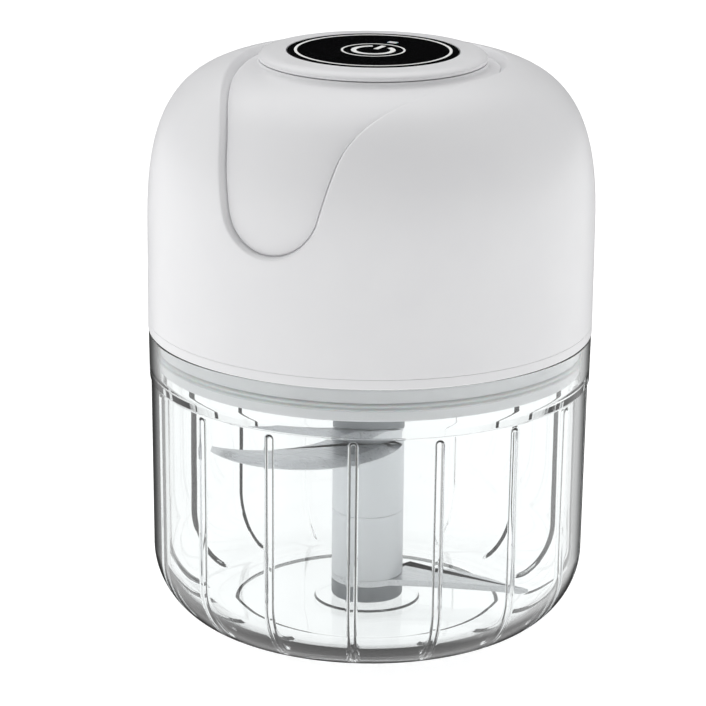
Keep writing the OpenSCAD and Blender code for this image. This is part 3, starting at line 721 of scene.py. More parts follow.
class DomeCurve:
    """The dome's section from the seam to the crown: straight, then a superellipse."""

    def __init__(self, start_r):
        self.rows = []  # radial share, height share, drop below the knee, length so far
        steep = math.acos(start_r ** 2.5 / BODY_R ** 2.5)
        for i in range(1200):
            t = steep * (1 - i / 1199) ** 1.4
            self.rows.append([math.cos(t) ** 0.4, math.sin(t) ** (2 / 2.78), 0.0])
        for i in range(1, 60):
            self.rows.append([1.0, 0.0, (KNEE_Z - SEAM_Z) * i / 59])
        length, before = start_r, None
        for row in self.rows:
            here = Vector(self.spot(row, 0.0))
            length += (here - before).length if before is not None else 0.0
            row.append(length)
            before = here
        self.lengths = [row[3] for row in self.rows]
        self.heights = [-self.spot(row, 0.0)[1] for row in self.rows]
        self.radii = [self.spot(row, 0.0)[0] for row in self.rows]

    @staticmethod
    def spot(row, deep):
        """Radius and height of a row, sunk by a depth."""
        return (BODY_R - deep) * row[0], KNEE_Z + (CROWN_H - deep) * row[1] - row[2]

    def mix(self, keys, key):
        """The row between table rows at a key."""
        i = min(max(bisect.bisect_left(keys, key), 1), len(keys) - 1)
        share = (key - keys[i - 1]) / ((keys[i] - keys[i - 1]) or 1.0)
        share = min(max(share, 0.0), 1.0)
        return [a + (b - a) * share for a, b in zip(self.rows[i - 1], self.rows[i])]

    def at_length(self, length):
        """The row at a length along the section."""
        return self.mix(self.lengths, length)

    def at_radius(self, r):
        """The row of the crown at a radius."""
        return self.mix(self.radii, r)

    def at_height(self, z):
        """The row at a height."""
        return self.mix(self.heights, -z)


def recess_outline(curve):
    """The edge of the sunken top and the finger recess, as (length, angle) all round."""
    foot_z = RECESS_LOW + RECESS_R
    side_z = RECESS_TOP - RECESS_FLARE * (1 - math.sin(RECESS_LEAN))
    lean = math.tan(RECESS_LEAN)
    out_x = (RECESS_R * math.cos(RECESS_LEAN)
             + (side_z - foot_z + RECESS_R * math.sin(RECESS_LEAN)) * lean)
    flat = []
    for i in range(240):
        a = -math.pi / 2 + (math.pi / 2 - RECESS_LEAN) * i / 240
        flat.append((RECESS_R * math.cos(a), foot_z + RECESS_R * math.sin(a)))
    start = (RECESS_R * math.cos(RECESS_LEAN), foot_z - RECESS_R * math.sin(RECESS_LEAN))
    for i in range(120):
        z = start[1] + (side_z - start[1]) * i / 120
        flat.append((start[0] + (z - start[1]) * lean, z))

    def flare(a):
        return (out_x + RECESS_FLARE * (math.cos(RECESS_LEAN) - math.cos(a)),
                side_z + RECESS_FLARE * (math.sin(a) - math.sin(RECESS_LEAN)))

    def outside(a):
        x, z = flare(a)
        return x - curve.spot(curve.at_height(z), 0.0)[0]

    near, far = RECESS_LEAN, math.pi / 2
    for _ in range(50):
        mid = (near + far) / 2
        near, far = (mid, far) if outside(mid) < 0 else (near, mid)
    for i in range(801):
        share = 1 - (1 - i / 800) ** 3
        flat.append(flare(RECESS_LEAN + (near - RECESS_LEAN) * share))
    quarter = []
    for x, z in flat:
        row = curve.at_height(z)
        r = curve.spot(row, 0.0)[0]
        quarter.append((row[3], -math.acos(min(max(x / r, -1.0), 1.0))))
    quarter[-1] = (quarter[-1][0], 0.0)
    # even steps along the edge
    length, marks = 0.0, [0.0]
    for (s0, a0), (s1, a1) in zip(quarter, quarter[1:]):
        r = curve.spot(curve.at_length(s0), 0.0)[0]
        length += math.hypot(s1 - s0, r * (a1 - a0))
        marks.append(length)
    count = round(length / 0.55)
    even_steps = []
    for i in range(count + 1):
        goal = length * i / count
        k = min(max(bisect.bisect_left(marks, goal), 1), len(marks) - 1)
        share = (goal - marks[k - 1]) / ((marks[k] - marks[k - 1]) or 1.0)
        even_steps.append(tuple(p + (q - p) * share for p, q in zip(quarter[k - 1], quarter[k])))
    rim = curve.at_radius(SUNK_R)[3]
    right = [(max(s, rim), a) for s, a in even_steps]
    steps = round(math.pi * SUNK_R / 0.55)
    back = [(rim, math.pi * i / steps) for i in range(1, steps)]
    return right + back + [(s, math.pi - a) for s, a in right[:0:-1]]


def shifted(curve, loop, by):
    """A closed loop of (length, angle) moved outwards along the surface by a distance."""
    out, count = [], len(loop)
    for i, (s, a) in enumerate(loop):
        r = curve.spot(curve.at_length(s), 0.0)[0]
        s0, a0 = loop[i - 1]
        s1, a1 = loop[(i + 1) % count]
        turn = (a1 - a0 + math.pi) % (2 * math.pi) - math.pi
        along = Vector((s1 - s0, r * turn)).normalized()
        out.append((s + along.y * by, a - along.x * by / r))
    return out


def flap_loop(curve, grow):
    """The outline of the pocket round the charging cover, grown by a distance."""
    half_w = FLAP_W / 2 + FLAP_GAP + grow
    half_h = FLAP_H / 2 + FLAP_GAP + grow
    bend = 0.6 + grow
    flat = []
    for cx, cz, a0 in ((1, 1, 0), (-1, 1, 90), (-1, -1, 180), (1, -1, 270)):
        for k in range(5):
            a = math.radians(a0 + 22.5 * k)
            flat.append((cx * (half_w - bend) + bend * math.cos(a),
                         cz * (half_h - bend) + bend * math.sin(a)))
    out = []
    for p, q in zip(flat, flat[1:] + flat[:1]):
        parts = max(1, round(math.dist(p, q) / 0.9))
        for k in range(parts):
            x, z = (p[i] + (q[i] - p[i]) * k / parts for i in (0, 1))
            row = curve.at_height(PORT_Z + z)
            out.append((row[3], math.pi / 2 - math.asin(x / BODY_R)))
    return out


def dome_skin(depth, rim):
    """The dome's outer skin as a triangle mesh that follows every edge on it, with its
    inner wall and the collar turned on the same points."""
    foot_r = 23.43                       # foot of the collar's fillet
    start_r = foot_r * BODY_R / (BODY_R - depth)
    curve = DomeCurve(start_r)
    turns = even(192)
    seam = curve.at_height(SEAM_Z + 0.25)[3]
    places, depths, loops = [], [], []   # (length, angle), depth, closed loops of indices

    def add_loop(loop, deep):
        first = len(places)
        places.extend(loop)
        depths.extend([deep] * len(loop))
        loops.append(list(range(first, first + len(loop))))

    add_loop([(start_r, a) for a in turns], depth)
    add_loop([(seam, a) for a in turns], 0.0)
    edge = recess_outline(curve)
    for share, deep in ((1.4, 0.0), (0.8, 0.012), (0.4, 0.06), (0.1, 0.16), (-0.15, 0.34),
                        (-0.4, 0.58), (-0.6, 0.8), (-0.72, 1.0), (-0.8, 1.25),
                        (-0.95, 1.34), (-1.35, 1.34), (-1.5, 1.2), (-1.58, 1.03), (-1.9, 1.0)):
        add_loop(shifted(curve, edge, share * rim), deep * depth)
    pocket = FLAP_T + FLAP_GAP
    for grow, deep in ((0.3, 0.0), (0.1, 0.02), (0.03, 0.08), (0.0, 0.2), (-0.03, 0.9),
                       (-0.1, 0.98), (-0.3, 1.0)):
        add_loop(flap_loop(curve, grow), deep * pocket)

    # plain points between the edges
    ring_lengths, s = [], start_r
    while s < seam - 1.0:
        s += 1.25 if s < curve.at_height(KNEE_Z - 1)[3] else 2.6
        ring_lengths.append(min(s, seam - 0.8))
    free = [(s, a + (math.pi / 192 if k % 2 else 0.0)) for k, s in enumerate(ring_lengths)
            for a in turns]

    def solid_place(place, deep):
        r, z = curve.spot(curve.at_length(place[0]), deep)
        return r * math.cos(place[1]), r * math.sin(place[1]), z

    edges3 = np.array([solid_place(edge[i], 0.0) for i in range(len(edge))])
    pocket_half = (FLAP_W / 2 + FLAP_GAP, FLAP_H / 2 + FLAP_GAP)
    edge_flat = np.array([(s * math.cos(a), s * math.sin(a)) for s, a in edge])
    nxt = np.roll(edge_flat, -1, axis=0)
    for place in free:
        p = np.array(solid_place(place, 0.0))
        if np.min(np.sum((edges3 - p) ** 2, axis=1)) < (2.0 * rim + 0.7) ** 2:
            continue
        if place[0] < start_r + 0.7 or place[0] > seam - 0.7:
            continue
        deep = 0.0
        if p[1] > 0 and abs(p[0]) < pocket_half[0] + 1.2 and \
                abs(p[2] - PORT_Z) < pocket_half[1] + 1.2:
            if abs(p[0]) > pocket_half[0] - 1.1 or abs(p[2] - PORT_Z) > pocket_half[1] - 1.1:
                continue
            deep = pocket
        else:
            x, y = place[0] * math.cos(place[1]), place[0] * math.sin(place[1])
            cross = (edge_flat[:, 1] > y) != (nxt[:, 1] > y)
            hit = edge_flat[:, 0] + (y - edge_flat[:, 1]) / (
                np.where(cross, nxt[:, 1] - edge_flat[:, 1], 1.0)) * (
                nxt[:, 0] - edge_flat[:, 0])
            if np.count_nonzero(cross & (x < hit)) % 2:
                deep = depth
        places.append(place)
        depths.append(deep)

    flat = [Vector((s * math.cos(a), s * math.sin(a))) for s, a in places]
    ties = [(loop[i], loop[(i + 1) % len(loop)]) for loop in loops for i in range(len(loop))]
    spots, _, faces, origin, _, _ = geometry.delaunay_2d_cdt(flat, ties, [], 0, 1e-5)
    source = [o[0] for o in origin]
    points = [solid_place(places[i], depths[i]) for i in source]
    inner_limit = start_r * math.cos(math.pi / 192) - 1e-3
    faces = [list(f) for f in faces
             if sum((spots[i] for i in f), Vector((0, 0))).length / 3 > inner_limit * 0.9995]
    back = {s: i for i, s in enumerate(source)}
    collar_row = [back[i] for i in loops[0]]
    seam_row = [back[i] for i in loops[1]]

    # the collar and the inner wall, from the crown's row round to the seam's row
    base = curve.spot(curve.at_length(start_r), depth)
    section = []
    a, b, c = Vector(base), Vector((BEZEL_R + 0.12, base[1] + 0.12)), Vector((BEZEL_R, 111.45))
    for k in range(1, 8):
        t = k / 7
        section.append(tuple(a * (1 - t) ** 2 + b * 2 * t * (1 - t) + c * t * t))
    under = []
    inside = [(BODY_R - SHELL) * r for r in (0.516, 0.54, 0.57, 0.6)]
    for i in range(44):
        t = math.radians(78.5) * (1 - i / 43) ** 1.3
        under.append(((BODY_R - SHELL) * math.cos(t) ** 0.4,
                      KNEE_Z + (CROWN_H - SHELL) * math.sin(t) ** (2 / 2.78)))
    under = [u for u in under if u[0] > inside[0]]
    section += rounded([(BEZEL_R, 111.5), (BEZEL_R - 0.03, BEZEL_Z - 0.2, 0.1),
                        (BEZEL_R - 1.6, BEZEL_Z - 0.2), (BEZEL_R - 1.6, BEZEL_Z),
                        (NECK_R + 0.05, BEZEL_Z), (NECK_R + 0.05, 109.65, 0.2),
                        (20.4, 109.65, 0.3), (inside[0] - 0.2, under[0][1] - 0.02)], 3)[1:]
    section += under
    section += rounded([(BODY_R - SHELL, SEAM_Z + 0.8), (BODY_R - SHELL, SEAM_Z, 0.3),
                        (BODY_R, SEAM_Z, 0.22), (BODY_R, SEAM_Z + 0.25)])[:-1]
    row = collar_row
    for r, z in section:
        fresh = list(range(len(points), len(points) + 192))
        points += [(r * math.cos(t), r * math.sin(t), z) for t in turns]
        faces += [[row[i], row[(i + 1) % 192], fresh[(i + 1) % 192], fresh[i]]
                  for i in range(192)]
        row = fresh
    faces += [[row[i], row[(i + 1) % 192], seam_row[(i + 1) % 192], seam_row[i]]
              for i in range(192)]
    return points, faces


def cut_away(thing, cutter):
    """Cuts one closed shape out of another and drops the cutter."""
    modifier = thing.modifiers.new("opening", "BOOLEAN")
    modifier.operation, modifier.solver, modifier.object = "DIFFERENCE", "EXACT", cutter
    bake_nodes(thing)
    bpy.data.objects.remove(cutter)


class PROCESSOR_OT_dome(bpy.types.Operator):
    """Make the white dome with its finger recess, collar and charging pocket"""
    bl_idname = "processor.dome"
    bl_label = "Dome"

    def execute(self, context):
        want = context.scene.processor_dome
        skin = dome_skin(want.recess_depth * 1000, want.rim_width * 1000)
        dome = show("white_dome", make_mesh("white_dome", [skin]))
        hole = show("port_cutter", make_mesh("port_cutter", [block(
            (-PORT_W / 2 - 0.25, 38.0, PORT_Z - PORT_H / 2 - 0.25),
            (PORT_W / 2 + 0.25, 46.0, PORT_Z + PORT_H / 2 + 0.25), 1.2)]))
        cut_away(dome, hole)
        posts = []
        for k in range(4):
            a = math.radians(45 + 90 * k)
            x, y = SCREW_RING_R * math.cos(a), SCREW_RING_R * math.sin(a)
            posts.append(tube(3.2, 1.05, FLOOR_TOP, POST_TOP, x, y))
            posts.append(block((SCREW_RING_R + 1.5, -1.0, SPIGOT_TOP + 0.4),
                               (BODY_R - SHELL / 2, 1.0, POST_TOP - 0.3), 0.2,
                               Matrix.Rotation(a, 4, "Z")))
        work = bmesh.new()
        work.from_mesh(dome.data)
        work.from_mesh(make_mesh("screw_posts", posts))
        work.to_mesh(dome.data)
        work.free()
        dome.data.shade_smooth()
        dome.data.set_sharp_from_angle(angle=math.radians(38))
        settle(dome, "head", "white_plastic", "dome_shell")
        return {"FINISHED"}


# ---------------------------------------------------------------- head base and seal

class PROCESSOR_OT_head_base(bpy.types.Operator):
    """Make the head's base with its flange and skirt, and the seal round it"""
    bl_idname = "processor.head_base"
    bl_label = "Head base and seal"

    def execute(self, context):
        section = rounded([
            (5.0, FLOOR_LOW, 0.2), (SKIRT_IN_R, FLOOR_LOW, 0.4), (SKIRT_IN_R, SKIRT_Z, 0.4),
            (SKIRT_R, SKIRT_Z, 0.4), (SKIRT_R, SKIRT_Z + 2.0, 0.1), (SKIRT_R - 0.9, SKIRT_Z + 2.0),
            (SKIRT_R - 0.9, SKIRT_Z + 3.6), (SKIRT_R, SKIRT_Z + 3.6, 0.1),
            (SKIRT_R, CUP_TOP, 0.15), (BODY_R, CUP_TOP, 0.3), (BODY_R, SEAM_Z, 0.2),
            (SKIRT_R, SEAM_Z),
            (SKIRT_R, SPIGOT_TOP, 0.3), (SKIRT_R - 1.6, SPIGOT_TOP, 0.3),
            (SKIRT_R - 1.6, SEAM_Z + 0.2, 0.1), (SKIRT_IN_R, SEAM_Z, 0.2),
            (SKIRT_IN_R, FLOOR_TOP, 0.4), (6.4, FLOOR_TOP, 0.3), (6.4, FLOOR_TOP + 1.0, 0.2),
            (3.2, FLOOR_TOP + 1.0), (3.2, FLOOR_LOW + 1.4), (5.0, FLOOR_LOW + 1.4)])
        post_y = 28.1
        parts = [lathe(section, even(192))]
        parts += [tube(2.2, 0.95, FLOOR_TOP - 0.2, 66.82, x, post_y) for x in (-9, 9)]
        base = show("head_base_moulding", make_mesh("head_base_moulding", parts))
        settle(base, "head", "white_plastic", "head_base")
        z0, z1 = low("seal_ring", 2), high("seal_ring", 2)
        inner, outer = SKIRT_R - 0.9, WALL_R - CUP_WALL - 0.05
        seal = show("lipped_seal", make_mesh("lipped_seal", [lathe(rounded([
            (inner, z0), (outer - 0.35, z0, 0.1), (outer, z0 + 0.35, 0.2),
            (outer - 0.3, z0 + 0.75, 0.1), (outer - 0.3, z1 - 0.75, 0.1),
            (outer, z1 - 0.35, 0.2), (outer - 0.35, z1, 0.1), (inner, z1)], 3), even(192))]))
        settle(seal, "head", "silicone", "seal_ring")
        return {"FINISHED"}


# ---------------------------------------------------------------- button

class PROCESSOR_OT_button(bpy.types.Operator):
    """Make the button's ring and its gloss disc"""
    bl_idname = "processor.button"
    bl_label = "Button"

    def execute(self, context):
        top = high("button_bezel", 2)
        edge = [(BEZEL_R - 2.7 * (1 - math.cos(a)), BEZEL_Z + 0.45 + (top - 0.15 - BEZEL_Z - 0.45)
                 * math.sin(a)) for a in [math.pi / 2 * k / 14 for k in range(15)]]
        ring = rounded([(BEZEL_IN_R, 107.3), (NECK_R, 107.3), (NECK_R, BEZEL_Z),
                        (BEZEL_R, BEZEL_Z, 0.12), edge[0]])[:-1]
        ring += edge + rounded([edge[-1], (BEZEL_IN_R + 0.1, top, 0.2),
                                (BEZEL_IN_R, top - 0.1, 0.2), (BEZEL_IN_R, 107.3)])[1:-1]
        bezel = show("button_ring", make_mesh("button_ring", [lathe(ring, even(160))]))
        settle(bezel, "head", "white_plastic", "button_bezel")

        face = BUTTON_TOP - 0.03    # the print stands this much proud
        foot = low("button_cap", 2)
        section = rounded([(0, face), (8.0, face), (BUTTON_R, face, 0.25), (BUTTON_R, foot, 0.2),
                           (BUTTON_R - 1.2, foot, 0.2), (BUTTON_R - 1.2, 111.6, 0.3), (0, 111.6)])
        parts = [lathe(section, even(160), False)]
        for k in range(3):
            a = math.radians(30 + 120 * k)
            parts.append(sector(BUTTON_R - 0.5, BUTTON_R + 0.5, foot + 0.02, foot + 1.0,
                                a - math.radians(9), a + math.radians(9)))
        cap = show("gloss_disc", make_mesh("gloss_disc", parts))
        settle(cap, "button", "black_gloss", "button_cap")
        return {"FINISHED"}


def spring_tree():
    """A coil of round wire, from its radius, height, turns and wire size."""
    tree, given, result = new_tree("Coil spring", [
        ("Turns", "NodeSocketFloat", 6.0), ("Radius", "NodeSocketFloat", 0.0056),
        ("Height", "NodeSocketFloat", 0.014), ("Wire", "NodeSocketFloat", 0.00035),
        ("Foot", "NodeSocketVector", (0.0, 0.0, 0.0)), ("Material", "NodeSocketMaterial", None)])
    coil = add_node(tree, "GeometryNodeCurveSpiral", {
        "Resolution": 36, "Rotations": given.outputs["Turns"],
        "Start Radius": given.outputs["Radius"], "End Radius": given.outputs["Radius"],
        "Height": given.outputs["Height"]})
    wire = add_node(tree, "GeometryNodeCurvePrimitiveCircle", {
        "Resolution": 12, "Radius": given.outputs["Wire"]})
    body = add_node(tree, "GeometryNodeCurveToMesh", {
        "Curve": coil.outputs["Curve"], "Profile Curve": wire.outputs["Curve"],
        "Fill Caps": True})
    placed = add_node(tree, "GeometryNodeTransform", {
        "Geometry": body.outputs["Mesh"], "Translation": given.outputs["Foot"]})
    end_tree(tree, given, result, placed.outputs["Geometry"])
    return tree


class PROCESSOR_OT_spring(bpy.types.Operator):
    """Make the button's return spring"""
    bl_idname = "processor.spring"
    bl_label = "Button spring"

    def execute(self, context):
        z0, z1 = low("button_spring", 2), high("button_spring", 2)
        spring = show("return_spring", bpy.data.meshes.new("return_spring"))
        give_nodes(spring, spring_tree(), {
            "Turns": 6.0, "Height": (z1 - z0 - 0.7) / 1000, "Foot": (0, 0, (z0 + 0.35) / 1000),
            "Material": material("steel", context.scene.processor_finish)})
        bake_nodes(spring)
        spring.data.shade_smooth()
        settle(spring, "head", "steel", "button_spring")
        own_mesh(spring)
        return {"FINISHED"}


# ---------------------------------------------------------------- blade set

def arc(p, q, bulge, count):
    """Points on an arc from p to q that bulges to its left."""
    p, q = Vector(p), Vector(q)
    chord = (q - p).length
    r = (chord * chord / 4 + bulge * bulge) / (2 * bulge)
    u = (q - p) / chord
    left = Vector((-u.y, u.x))
    middle = (p + q) / 2 - left * (r - bulge)
    half = math.asin(chord / 2 / r)
    a = math.pi - half if abs(bulge) > abs(r) else half
    return [middle + r * (left * math.cos(b) - u * math.sin(b))
            for b in (a - 2 * a * i / count for i in range(count + 1))]


def polar(r, degrees):
    """A point in the plane at a radius and an angle."""
    return Vector((r * math.cos(math.radians(degrees)), r * math.sin(math.radians(degrees))))


def blade(z, tip, out, back, grind, land):
    """A swept blade: a flat plate whose outer edge is ground down to a thin land."""
    tip_r, tip_a = tip
    leading = arc(polar(out[1], out[0]), polar(tip_r, 0), out[2], 48)
    trailing = arc(polar(tip_r, 0), polar(STEM_R - 0.2, back[0]), back[1], 36)[1:]
    outline = leading + trailing
    count = len(outline)
    inner = []
    for i, p in enumerate(outline):
        along = (outline[(i + 1) % count] - outline[i - 1]).normalized()
        inward = Vector((along.y, -along.x))
        if i < len(leading):
            width = min((p - q).length for q in trailing)
            by = min(grind, 0.5 * width)
        else:
            by = min(0.15, 0.3 * min((p - q).length for q in leading))
        inner.append(p + inward * max(by, 0.0))
    # the inside is on the right of a clockwise outline, and on the left of the other
    area = sum(a.x * b.y - b.x * a.y for a, b in zip(outline, outline[1:] + outline[:1]))
    if area > 0:
        inner = [p * 2 - q for p, q in zip(outline, inner)]
    turn = Matrix.Rotation(math.radians(tip_a), 2)
    rings = [(outline, z), (outline, z + land), (inner, z + BLADE_T)]
    points, faces = [], []
    for ring, height in rings:
        for p in ring:
            q = turn @ p
            points.append((q.x, q.y, height))
    for k in range(2):
        for i in range(count):
            m = (i + 1) % count
            faces.append([k * count + i, k * count + m, (k + 1) * count + m, (k + 1) * count + i])
    faces += [list(range(count)), list(range(2 * count, 3 * count))[::-1]]
    return points, faces


class PROCESSOR_OT_blades(bpy.types.Operator):
    """Make the two blades and the stem's mouldings"""
    bl_idname = "processor.blades"
    bl_label = "Blade set"

    def execute(self, context):
        want = context.scene.processor_blade
        grind, land = want.grind_width * 1000, want.edge_land * 1000
        for name, node, tip, out, back in (
                ("upper_blade_ground", "upper_blade", UPPER_TIP, (137, STEM_R + 0.5, 13.4),
                 (-3, -5.6)),
                ("lower_blade_ground", "lower_blade", LOWER_TIP, (62, STEM_R + 1.4, 4.2),
                 (-38, -1.2))):
            z = low(node, 2)
            ring = lathe([(CORE_R, z), (STEM_R, z), (STEM_R, z + BLADE_T), (CORE_R, z + BLADE_T)],
                         even(96))
            plate = show(name, make_mesh(name, [blade(z, tip, out, back, grind, land), ring], 12))
            settle(plate, "blades", "blade_steel", node)
        for name, node, slot, foot, head in (
                ("foot_collar", "stem_foot_collar", "grey_plastic", 0.5, 0.15),
                ("lower_stem", "lower_sleeve", "pale_grey_plastic", 0.15, 0.25),
                ("upper_stem", "upper_sleeve", "pale_grey_plastic", 0.25, 0.15)):
            z0, z1 = low(node, 2), high(node, 2)
            sleeve = show(name, make_mesh(name, [lathe(rounded(
                [(CORE_R, z0), (STEM_R, z0, foot), (STEM_R, z1, head), (CORE_R, z1)]), even(96))]))
            settle(sleeve, "blades", slot, node)
        z0, z1 = low("drive_hub", 2), high("drive_hub", 2)

        def hexagon(grow):
            return lambda a: (4.05 * math.cos(math.pi / 6) + grow) / math.cos(
                a % (math.pi / 3) - math.pi / 6)

        section = rounded([(0, z0 + 3.4), (CORE_R, z0 + 3.4), (CORE_R, z0), (STEM_R, z0, 0.15),
                           (STEM_R, z1, 0.6), (STEM_R - 1.2, z1)])
        section += [(hexagon(0.4), z1), (hexagon(0.1), z1 - 0.25), (hexagon(0.0), z1 - 0.5),
                    (hexagon(0.0), z0 + 4.4), (0, z0 + 4.4)]
        hub = show("drive_hub_moulding", make_mesh("drive_hub_moulding",
                                                   [lathe(section, even(96), False)]))
        settle(hub, "blades", "grey_plastic", "drive_hub")
        z0, z1 = low("drive_coupling", 2), high("drive_coupling", 2)
        six = 3.9 * math.cos(math.pi / 6)

        def spline_side(grow):
            return lambda a: (six + grow) / math.cos(a % (math.pi / 3) - math.pi / 6)

        section = [(1.0, z0), (spline_side(-0.5), z0), (spline_side(-0.15), z0 + 0.2),
                   (spline_side(0.0), z0 + 0.6), (spline_side(0.0), z1 - 1.8)]
        section += rounded([(4.4, z1 - 1.8), (4.6, z1 - 1.8), (4.6, z1, 0.3), (1.0, z1)])[1:]
        coupling = show("hex_coupling", make_mesh("hex_coupling", [lathe(section, even(96))]))
        settle(coupling, "drive", "pale_grey_plastic", "drive_coupling")
        return {"FINISHED"}


# ---------------------------------------------------------------- screws

def cross_screw(head_r, head_h, shank_r, shank_l):
    """A pan-head screw with a cross recess: its head's face looks down at minus head_h and
    its shank runs up from nought."""
    arm, half, deep = head_r * 0.62, head_r * 0.15, head_h * 0.55
    cross = [(arm, -half), (arm, half), (half, half), (half, arm), (-half, arm), (-half, half),
             (-arm, half), (-arm, -half), (-half, -half), (-half, -arm), (half, -arm),
             (half, -half)]
    count = 36
    rim_r = head_r * 0.86
    rim = [(rim_r * math.cos(a), rim_r * math.sin(a)) for a in even(count)]
    flat = [Vector(p) for p in cross + rim]
    ties = [(i, (i + 1) % 12) for i in range(12)]
    ties += [(12 + i, 12 + (i + 1) % count) for i in range(count)]
    spots, _, faces, origin, _, _ = geometry.delaunay_2d_cdt(flat, ties, [], 0, 1e-6)
    source = [o[0] for o in origin]
    points = [(p.x, p.y, -head_h) for p in flat]
    faces = [[source[i] for i in f] for f in faces
             if not all(source[i] < 12 for i in f)
             or max(abs(sum(spots[i].x for i in f)), abs(sum(spots[i].y for i in f))) > 3 * arm
             or min(abs(sum(spots[i].x for i in f)), abs(sum(spots[i].y for i in f))) > 3 * half]
    floor_at = len(points)
    points += [(x * 0.8, y * 0.8, -head_h + deep) for x, y in cross]
    faces += [[i, (i + 1) % 12, floor_at + (i + 1) % 12, floor_at + i] for i in range(12)]
    faces.append(list(range(floor_at, floor_at + 12)))
    row = list(range(12, 12 + count))
    for r, z in ((head_r * 0.96, -head_h * 0.88), (head_r, -head_h * 0.62), (head_r, 0.0),
                 (shank_r, 0.0), (shank_r, shank_l - 0.6), (shank_r * 0.5, shank_l)):
        fresh = list(range(len(points), len(points) + count))
        points += [(r * math.cos(a), r * math.sin(a), z) for a in even(count)]
        faces += [[row[i], row[(i + 1) % count], fresh[(i + 1) % count], fresh[i]]
                  for i in range(count)]
        row = fresh
    faces.append(row)
    return points, faces


def screw_tree():
    """Puts a screw at even turns round a circle."""
    tree, given, result = new_tree("Ring of screws", [
        ("Screw", "NodeSocketObject", None), ("Count", "NodeSocketInt", 4),
        ("Circle", "NodeSocketFloat", 0.035), ("Centre", "NodeSocketVector", (0.0, 0.0, 0.0)),
        ("First", "NodeSocketFloat", 0.0), ("Upright", "NodeSocketFloat", 0.0),
        ("Material", "NodeSocketMaterial", None)])
    dots = add_node(tree, "GeometryNodePoints", {"Count": given.outputs["Count"]})
    index = add_node(tree, "GeometryNodeInputIndex")
    circle = given.outputs["Circle"]
    turn = add_node(tree, "ShaderNodeMath", (index, given.outputs["Count"]), operation="DIVIDE")
    turn = add_node(tree, "ShaderNodeMath", (turn, 2 * math.pi, given.outputs["First"]),
                    operation="MULTIPLY_ADD")
    across, along = (add_node(tree, "ShaderNodeMath", (turn,), operation=operation)
                     for operation in ("COSINE", "SINE"))
    spot = add_node(tree, "ShaderNodeCombineXYZ", {
        "X": add_node(tree, "ShaderNodeMath", (across, circle), operation="MULTIPLY"),
        "Y": add_node(tree, "ShaderNodeMath", (along, circle), operation="MULTIPLY")})
    placed = add_node(tree, "GeometryNodeSetPosition", {
        "Geometry": dots.outputs[0],
        "Position": add_node(tree, "ShaderNodeVectorMath", {
            0: spot.outputs["Vector"], 1: given.outputs["Centre"]},
            operation="ADD").outputs["Vector"]})
    info = add_node(tree, "GeometryNodeObjectInfo", {"Object": given.outputs["Screw"]})
    tilt = add_node(tree, "ShaderNodeCombineXYZ", {
        "X": given.outputs["Upright"],
        "Z": add_node(tree, "ShaderNodeMath", (turn, 1.7), operation="MULTIPLY")})
    copies = add_node(tree, "GeometryNodeInstanceOnPoints", {
        "Points": placed.outputs["Geometry"], "Instance": info.outputs["Geometry"],
        "Rotation": tilt.outputs["Vector"]})
    end_tree(tree, given, result, copies.outputs["Instances"])
    return tree


class PROCESSOR_OT_screws(bpy.types.Operator):
    """Make the screws of the housing, the motor and the boards"""
    bl_idname = "processor.screws"
    bl_label = "Screws"

    def execute(self, context):
        tree = screw_tree()
        steel = material("steel", context.scene.processor_finish)
        sets = (
            ("housing_screw_set", "housing_screws", (2.3, 1.4, 1.05, 10.8),
             [(4, SCREW_RING_R, (0, 0, FLOOR_LOW), math.pi / 4, 0.0)]),
            ("motor_screw_set", "motor_screws", (1.9, 1.1, 1.05, 3.9),
             [(2, 8.0, (0, 0, FLOOR_LOW), 0.0, 0.0)]),
            ("board_screw_set", "board_screws", (1.8, 1.2, 0.9, 3.6),
             [(2, 11.0, (0, 0, high("control_board", 2)), 0.0, math.pi),
              (2, 9.0, (0, 28.1, high("charge_board", 2)), 0.0, math.pi)]))
        for name, node, sizes, rings in sets:
            pattern = show("screw_pattern", make_mesh("screw_pattern", [cross_screw(*sizes)]))
            meshes = []
            for count, circle, centre, first, upright in rings:
                holder = show("screw_ring", bpy.data.meshes.new("screw_ring"))
                give_nodes(holder, tree, {
                    "Screw": pattern, "Count": count, "Circle": circle / 1000,
                    "Centre": tuple(c / 1000 for c in centre), "First": first,
                    "Upright": upright, "Material": steel})
                bake_nodes(holder)
                meshes.append(holder.data)
                bpy.data.objects.remove(holder)
            work = bmesh.new()
            for mesh in meshes:
                work.from_mesh(mesh)
            joined = bpy.data.meshes.new(name)
            work.to_mesh(joined)
            work.free()
            joined.shade_smooth()
            joined.set_sharp_from_angle(angle=math.radians(35))
            bpy.data.objects.remove(pattern)
            settle(show(name, joined), "head", "steel", node)
        return {"FINISHED"}


# ---------------------------------------------------------------- charging cover

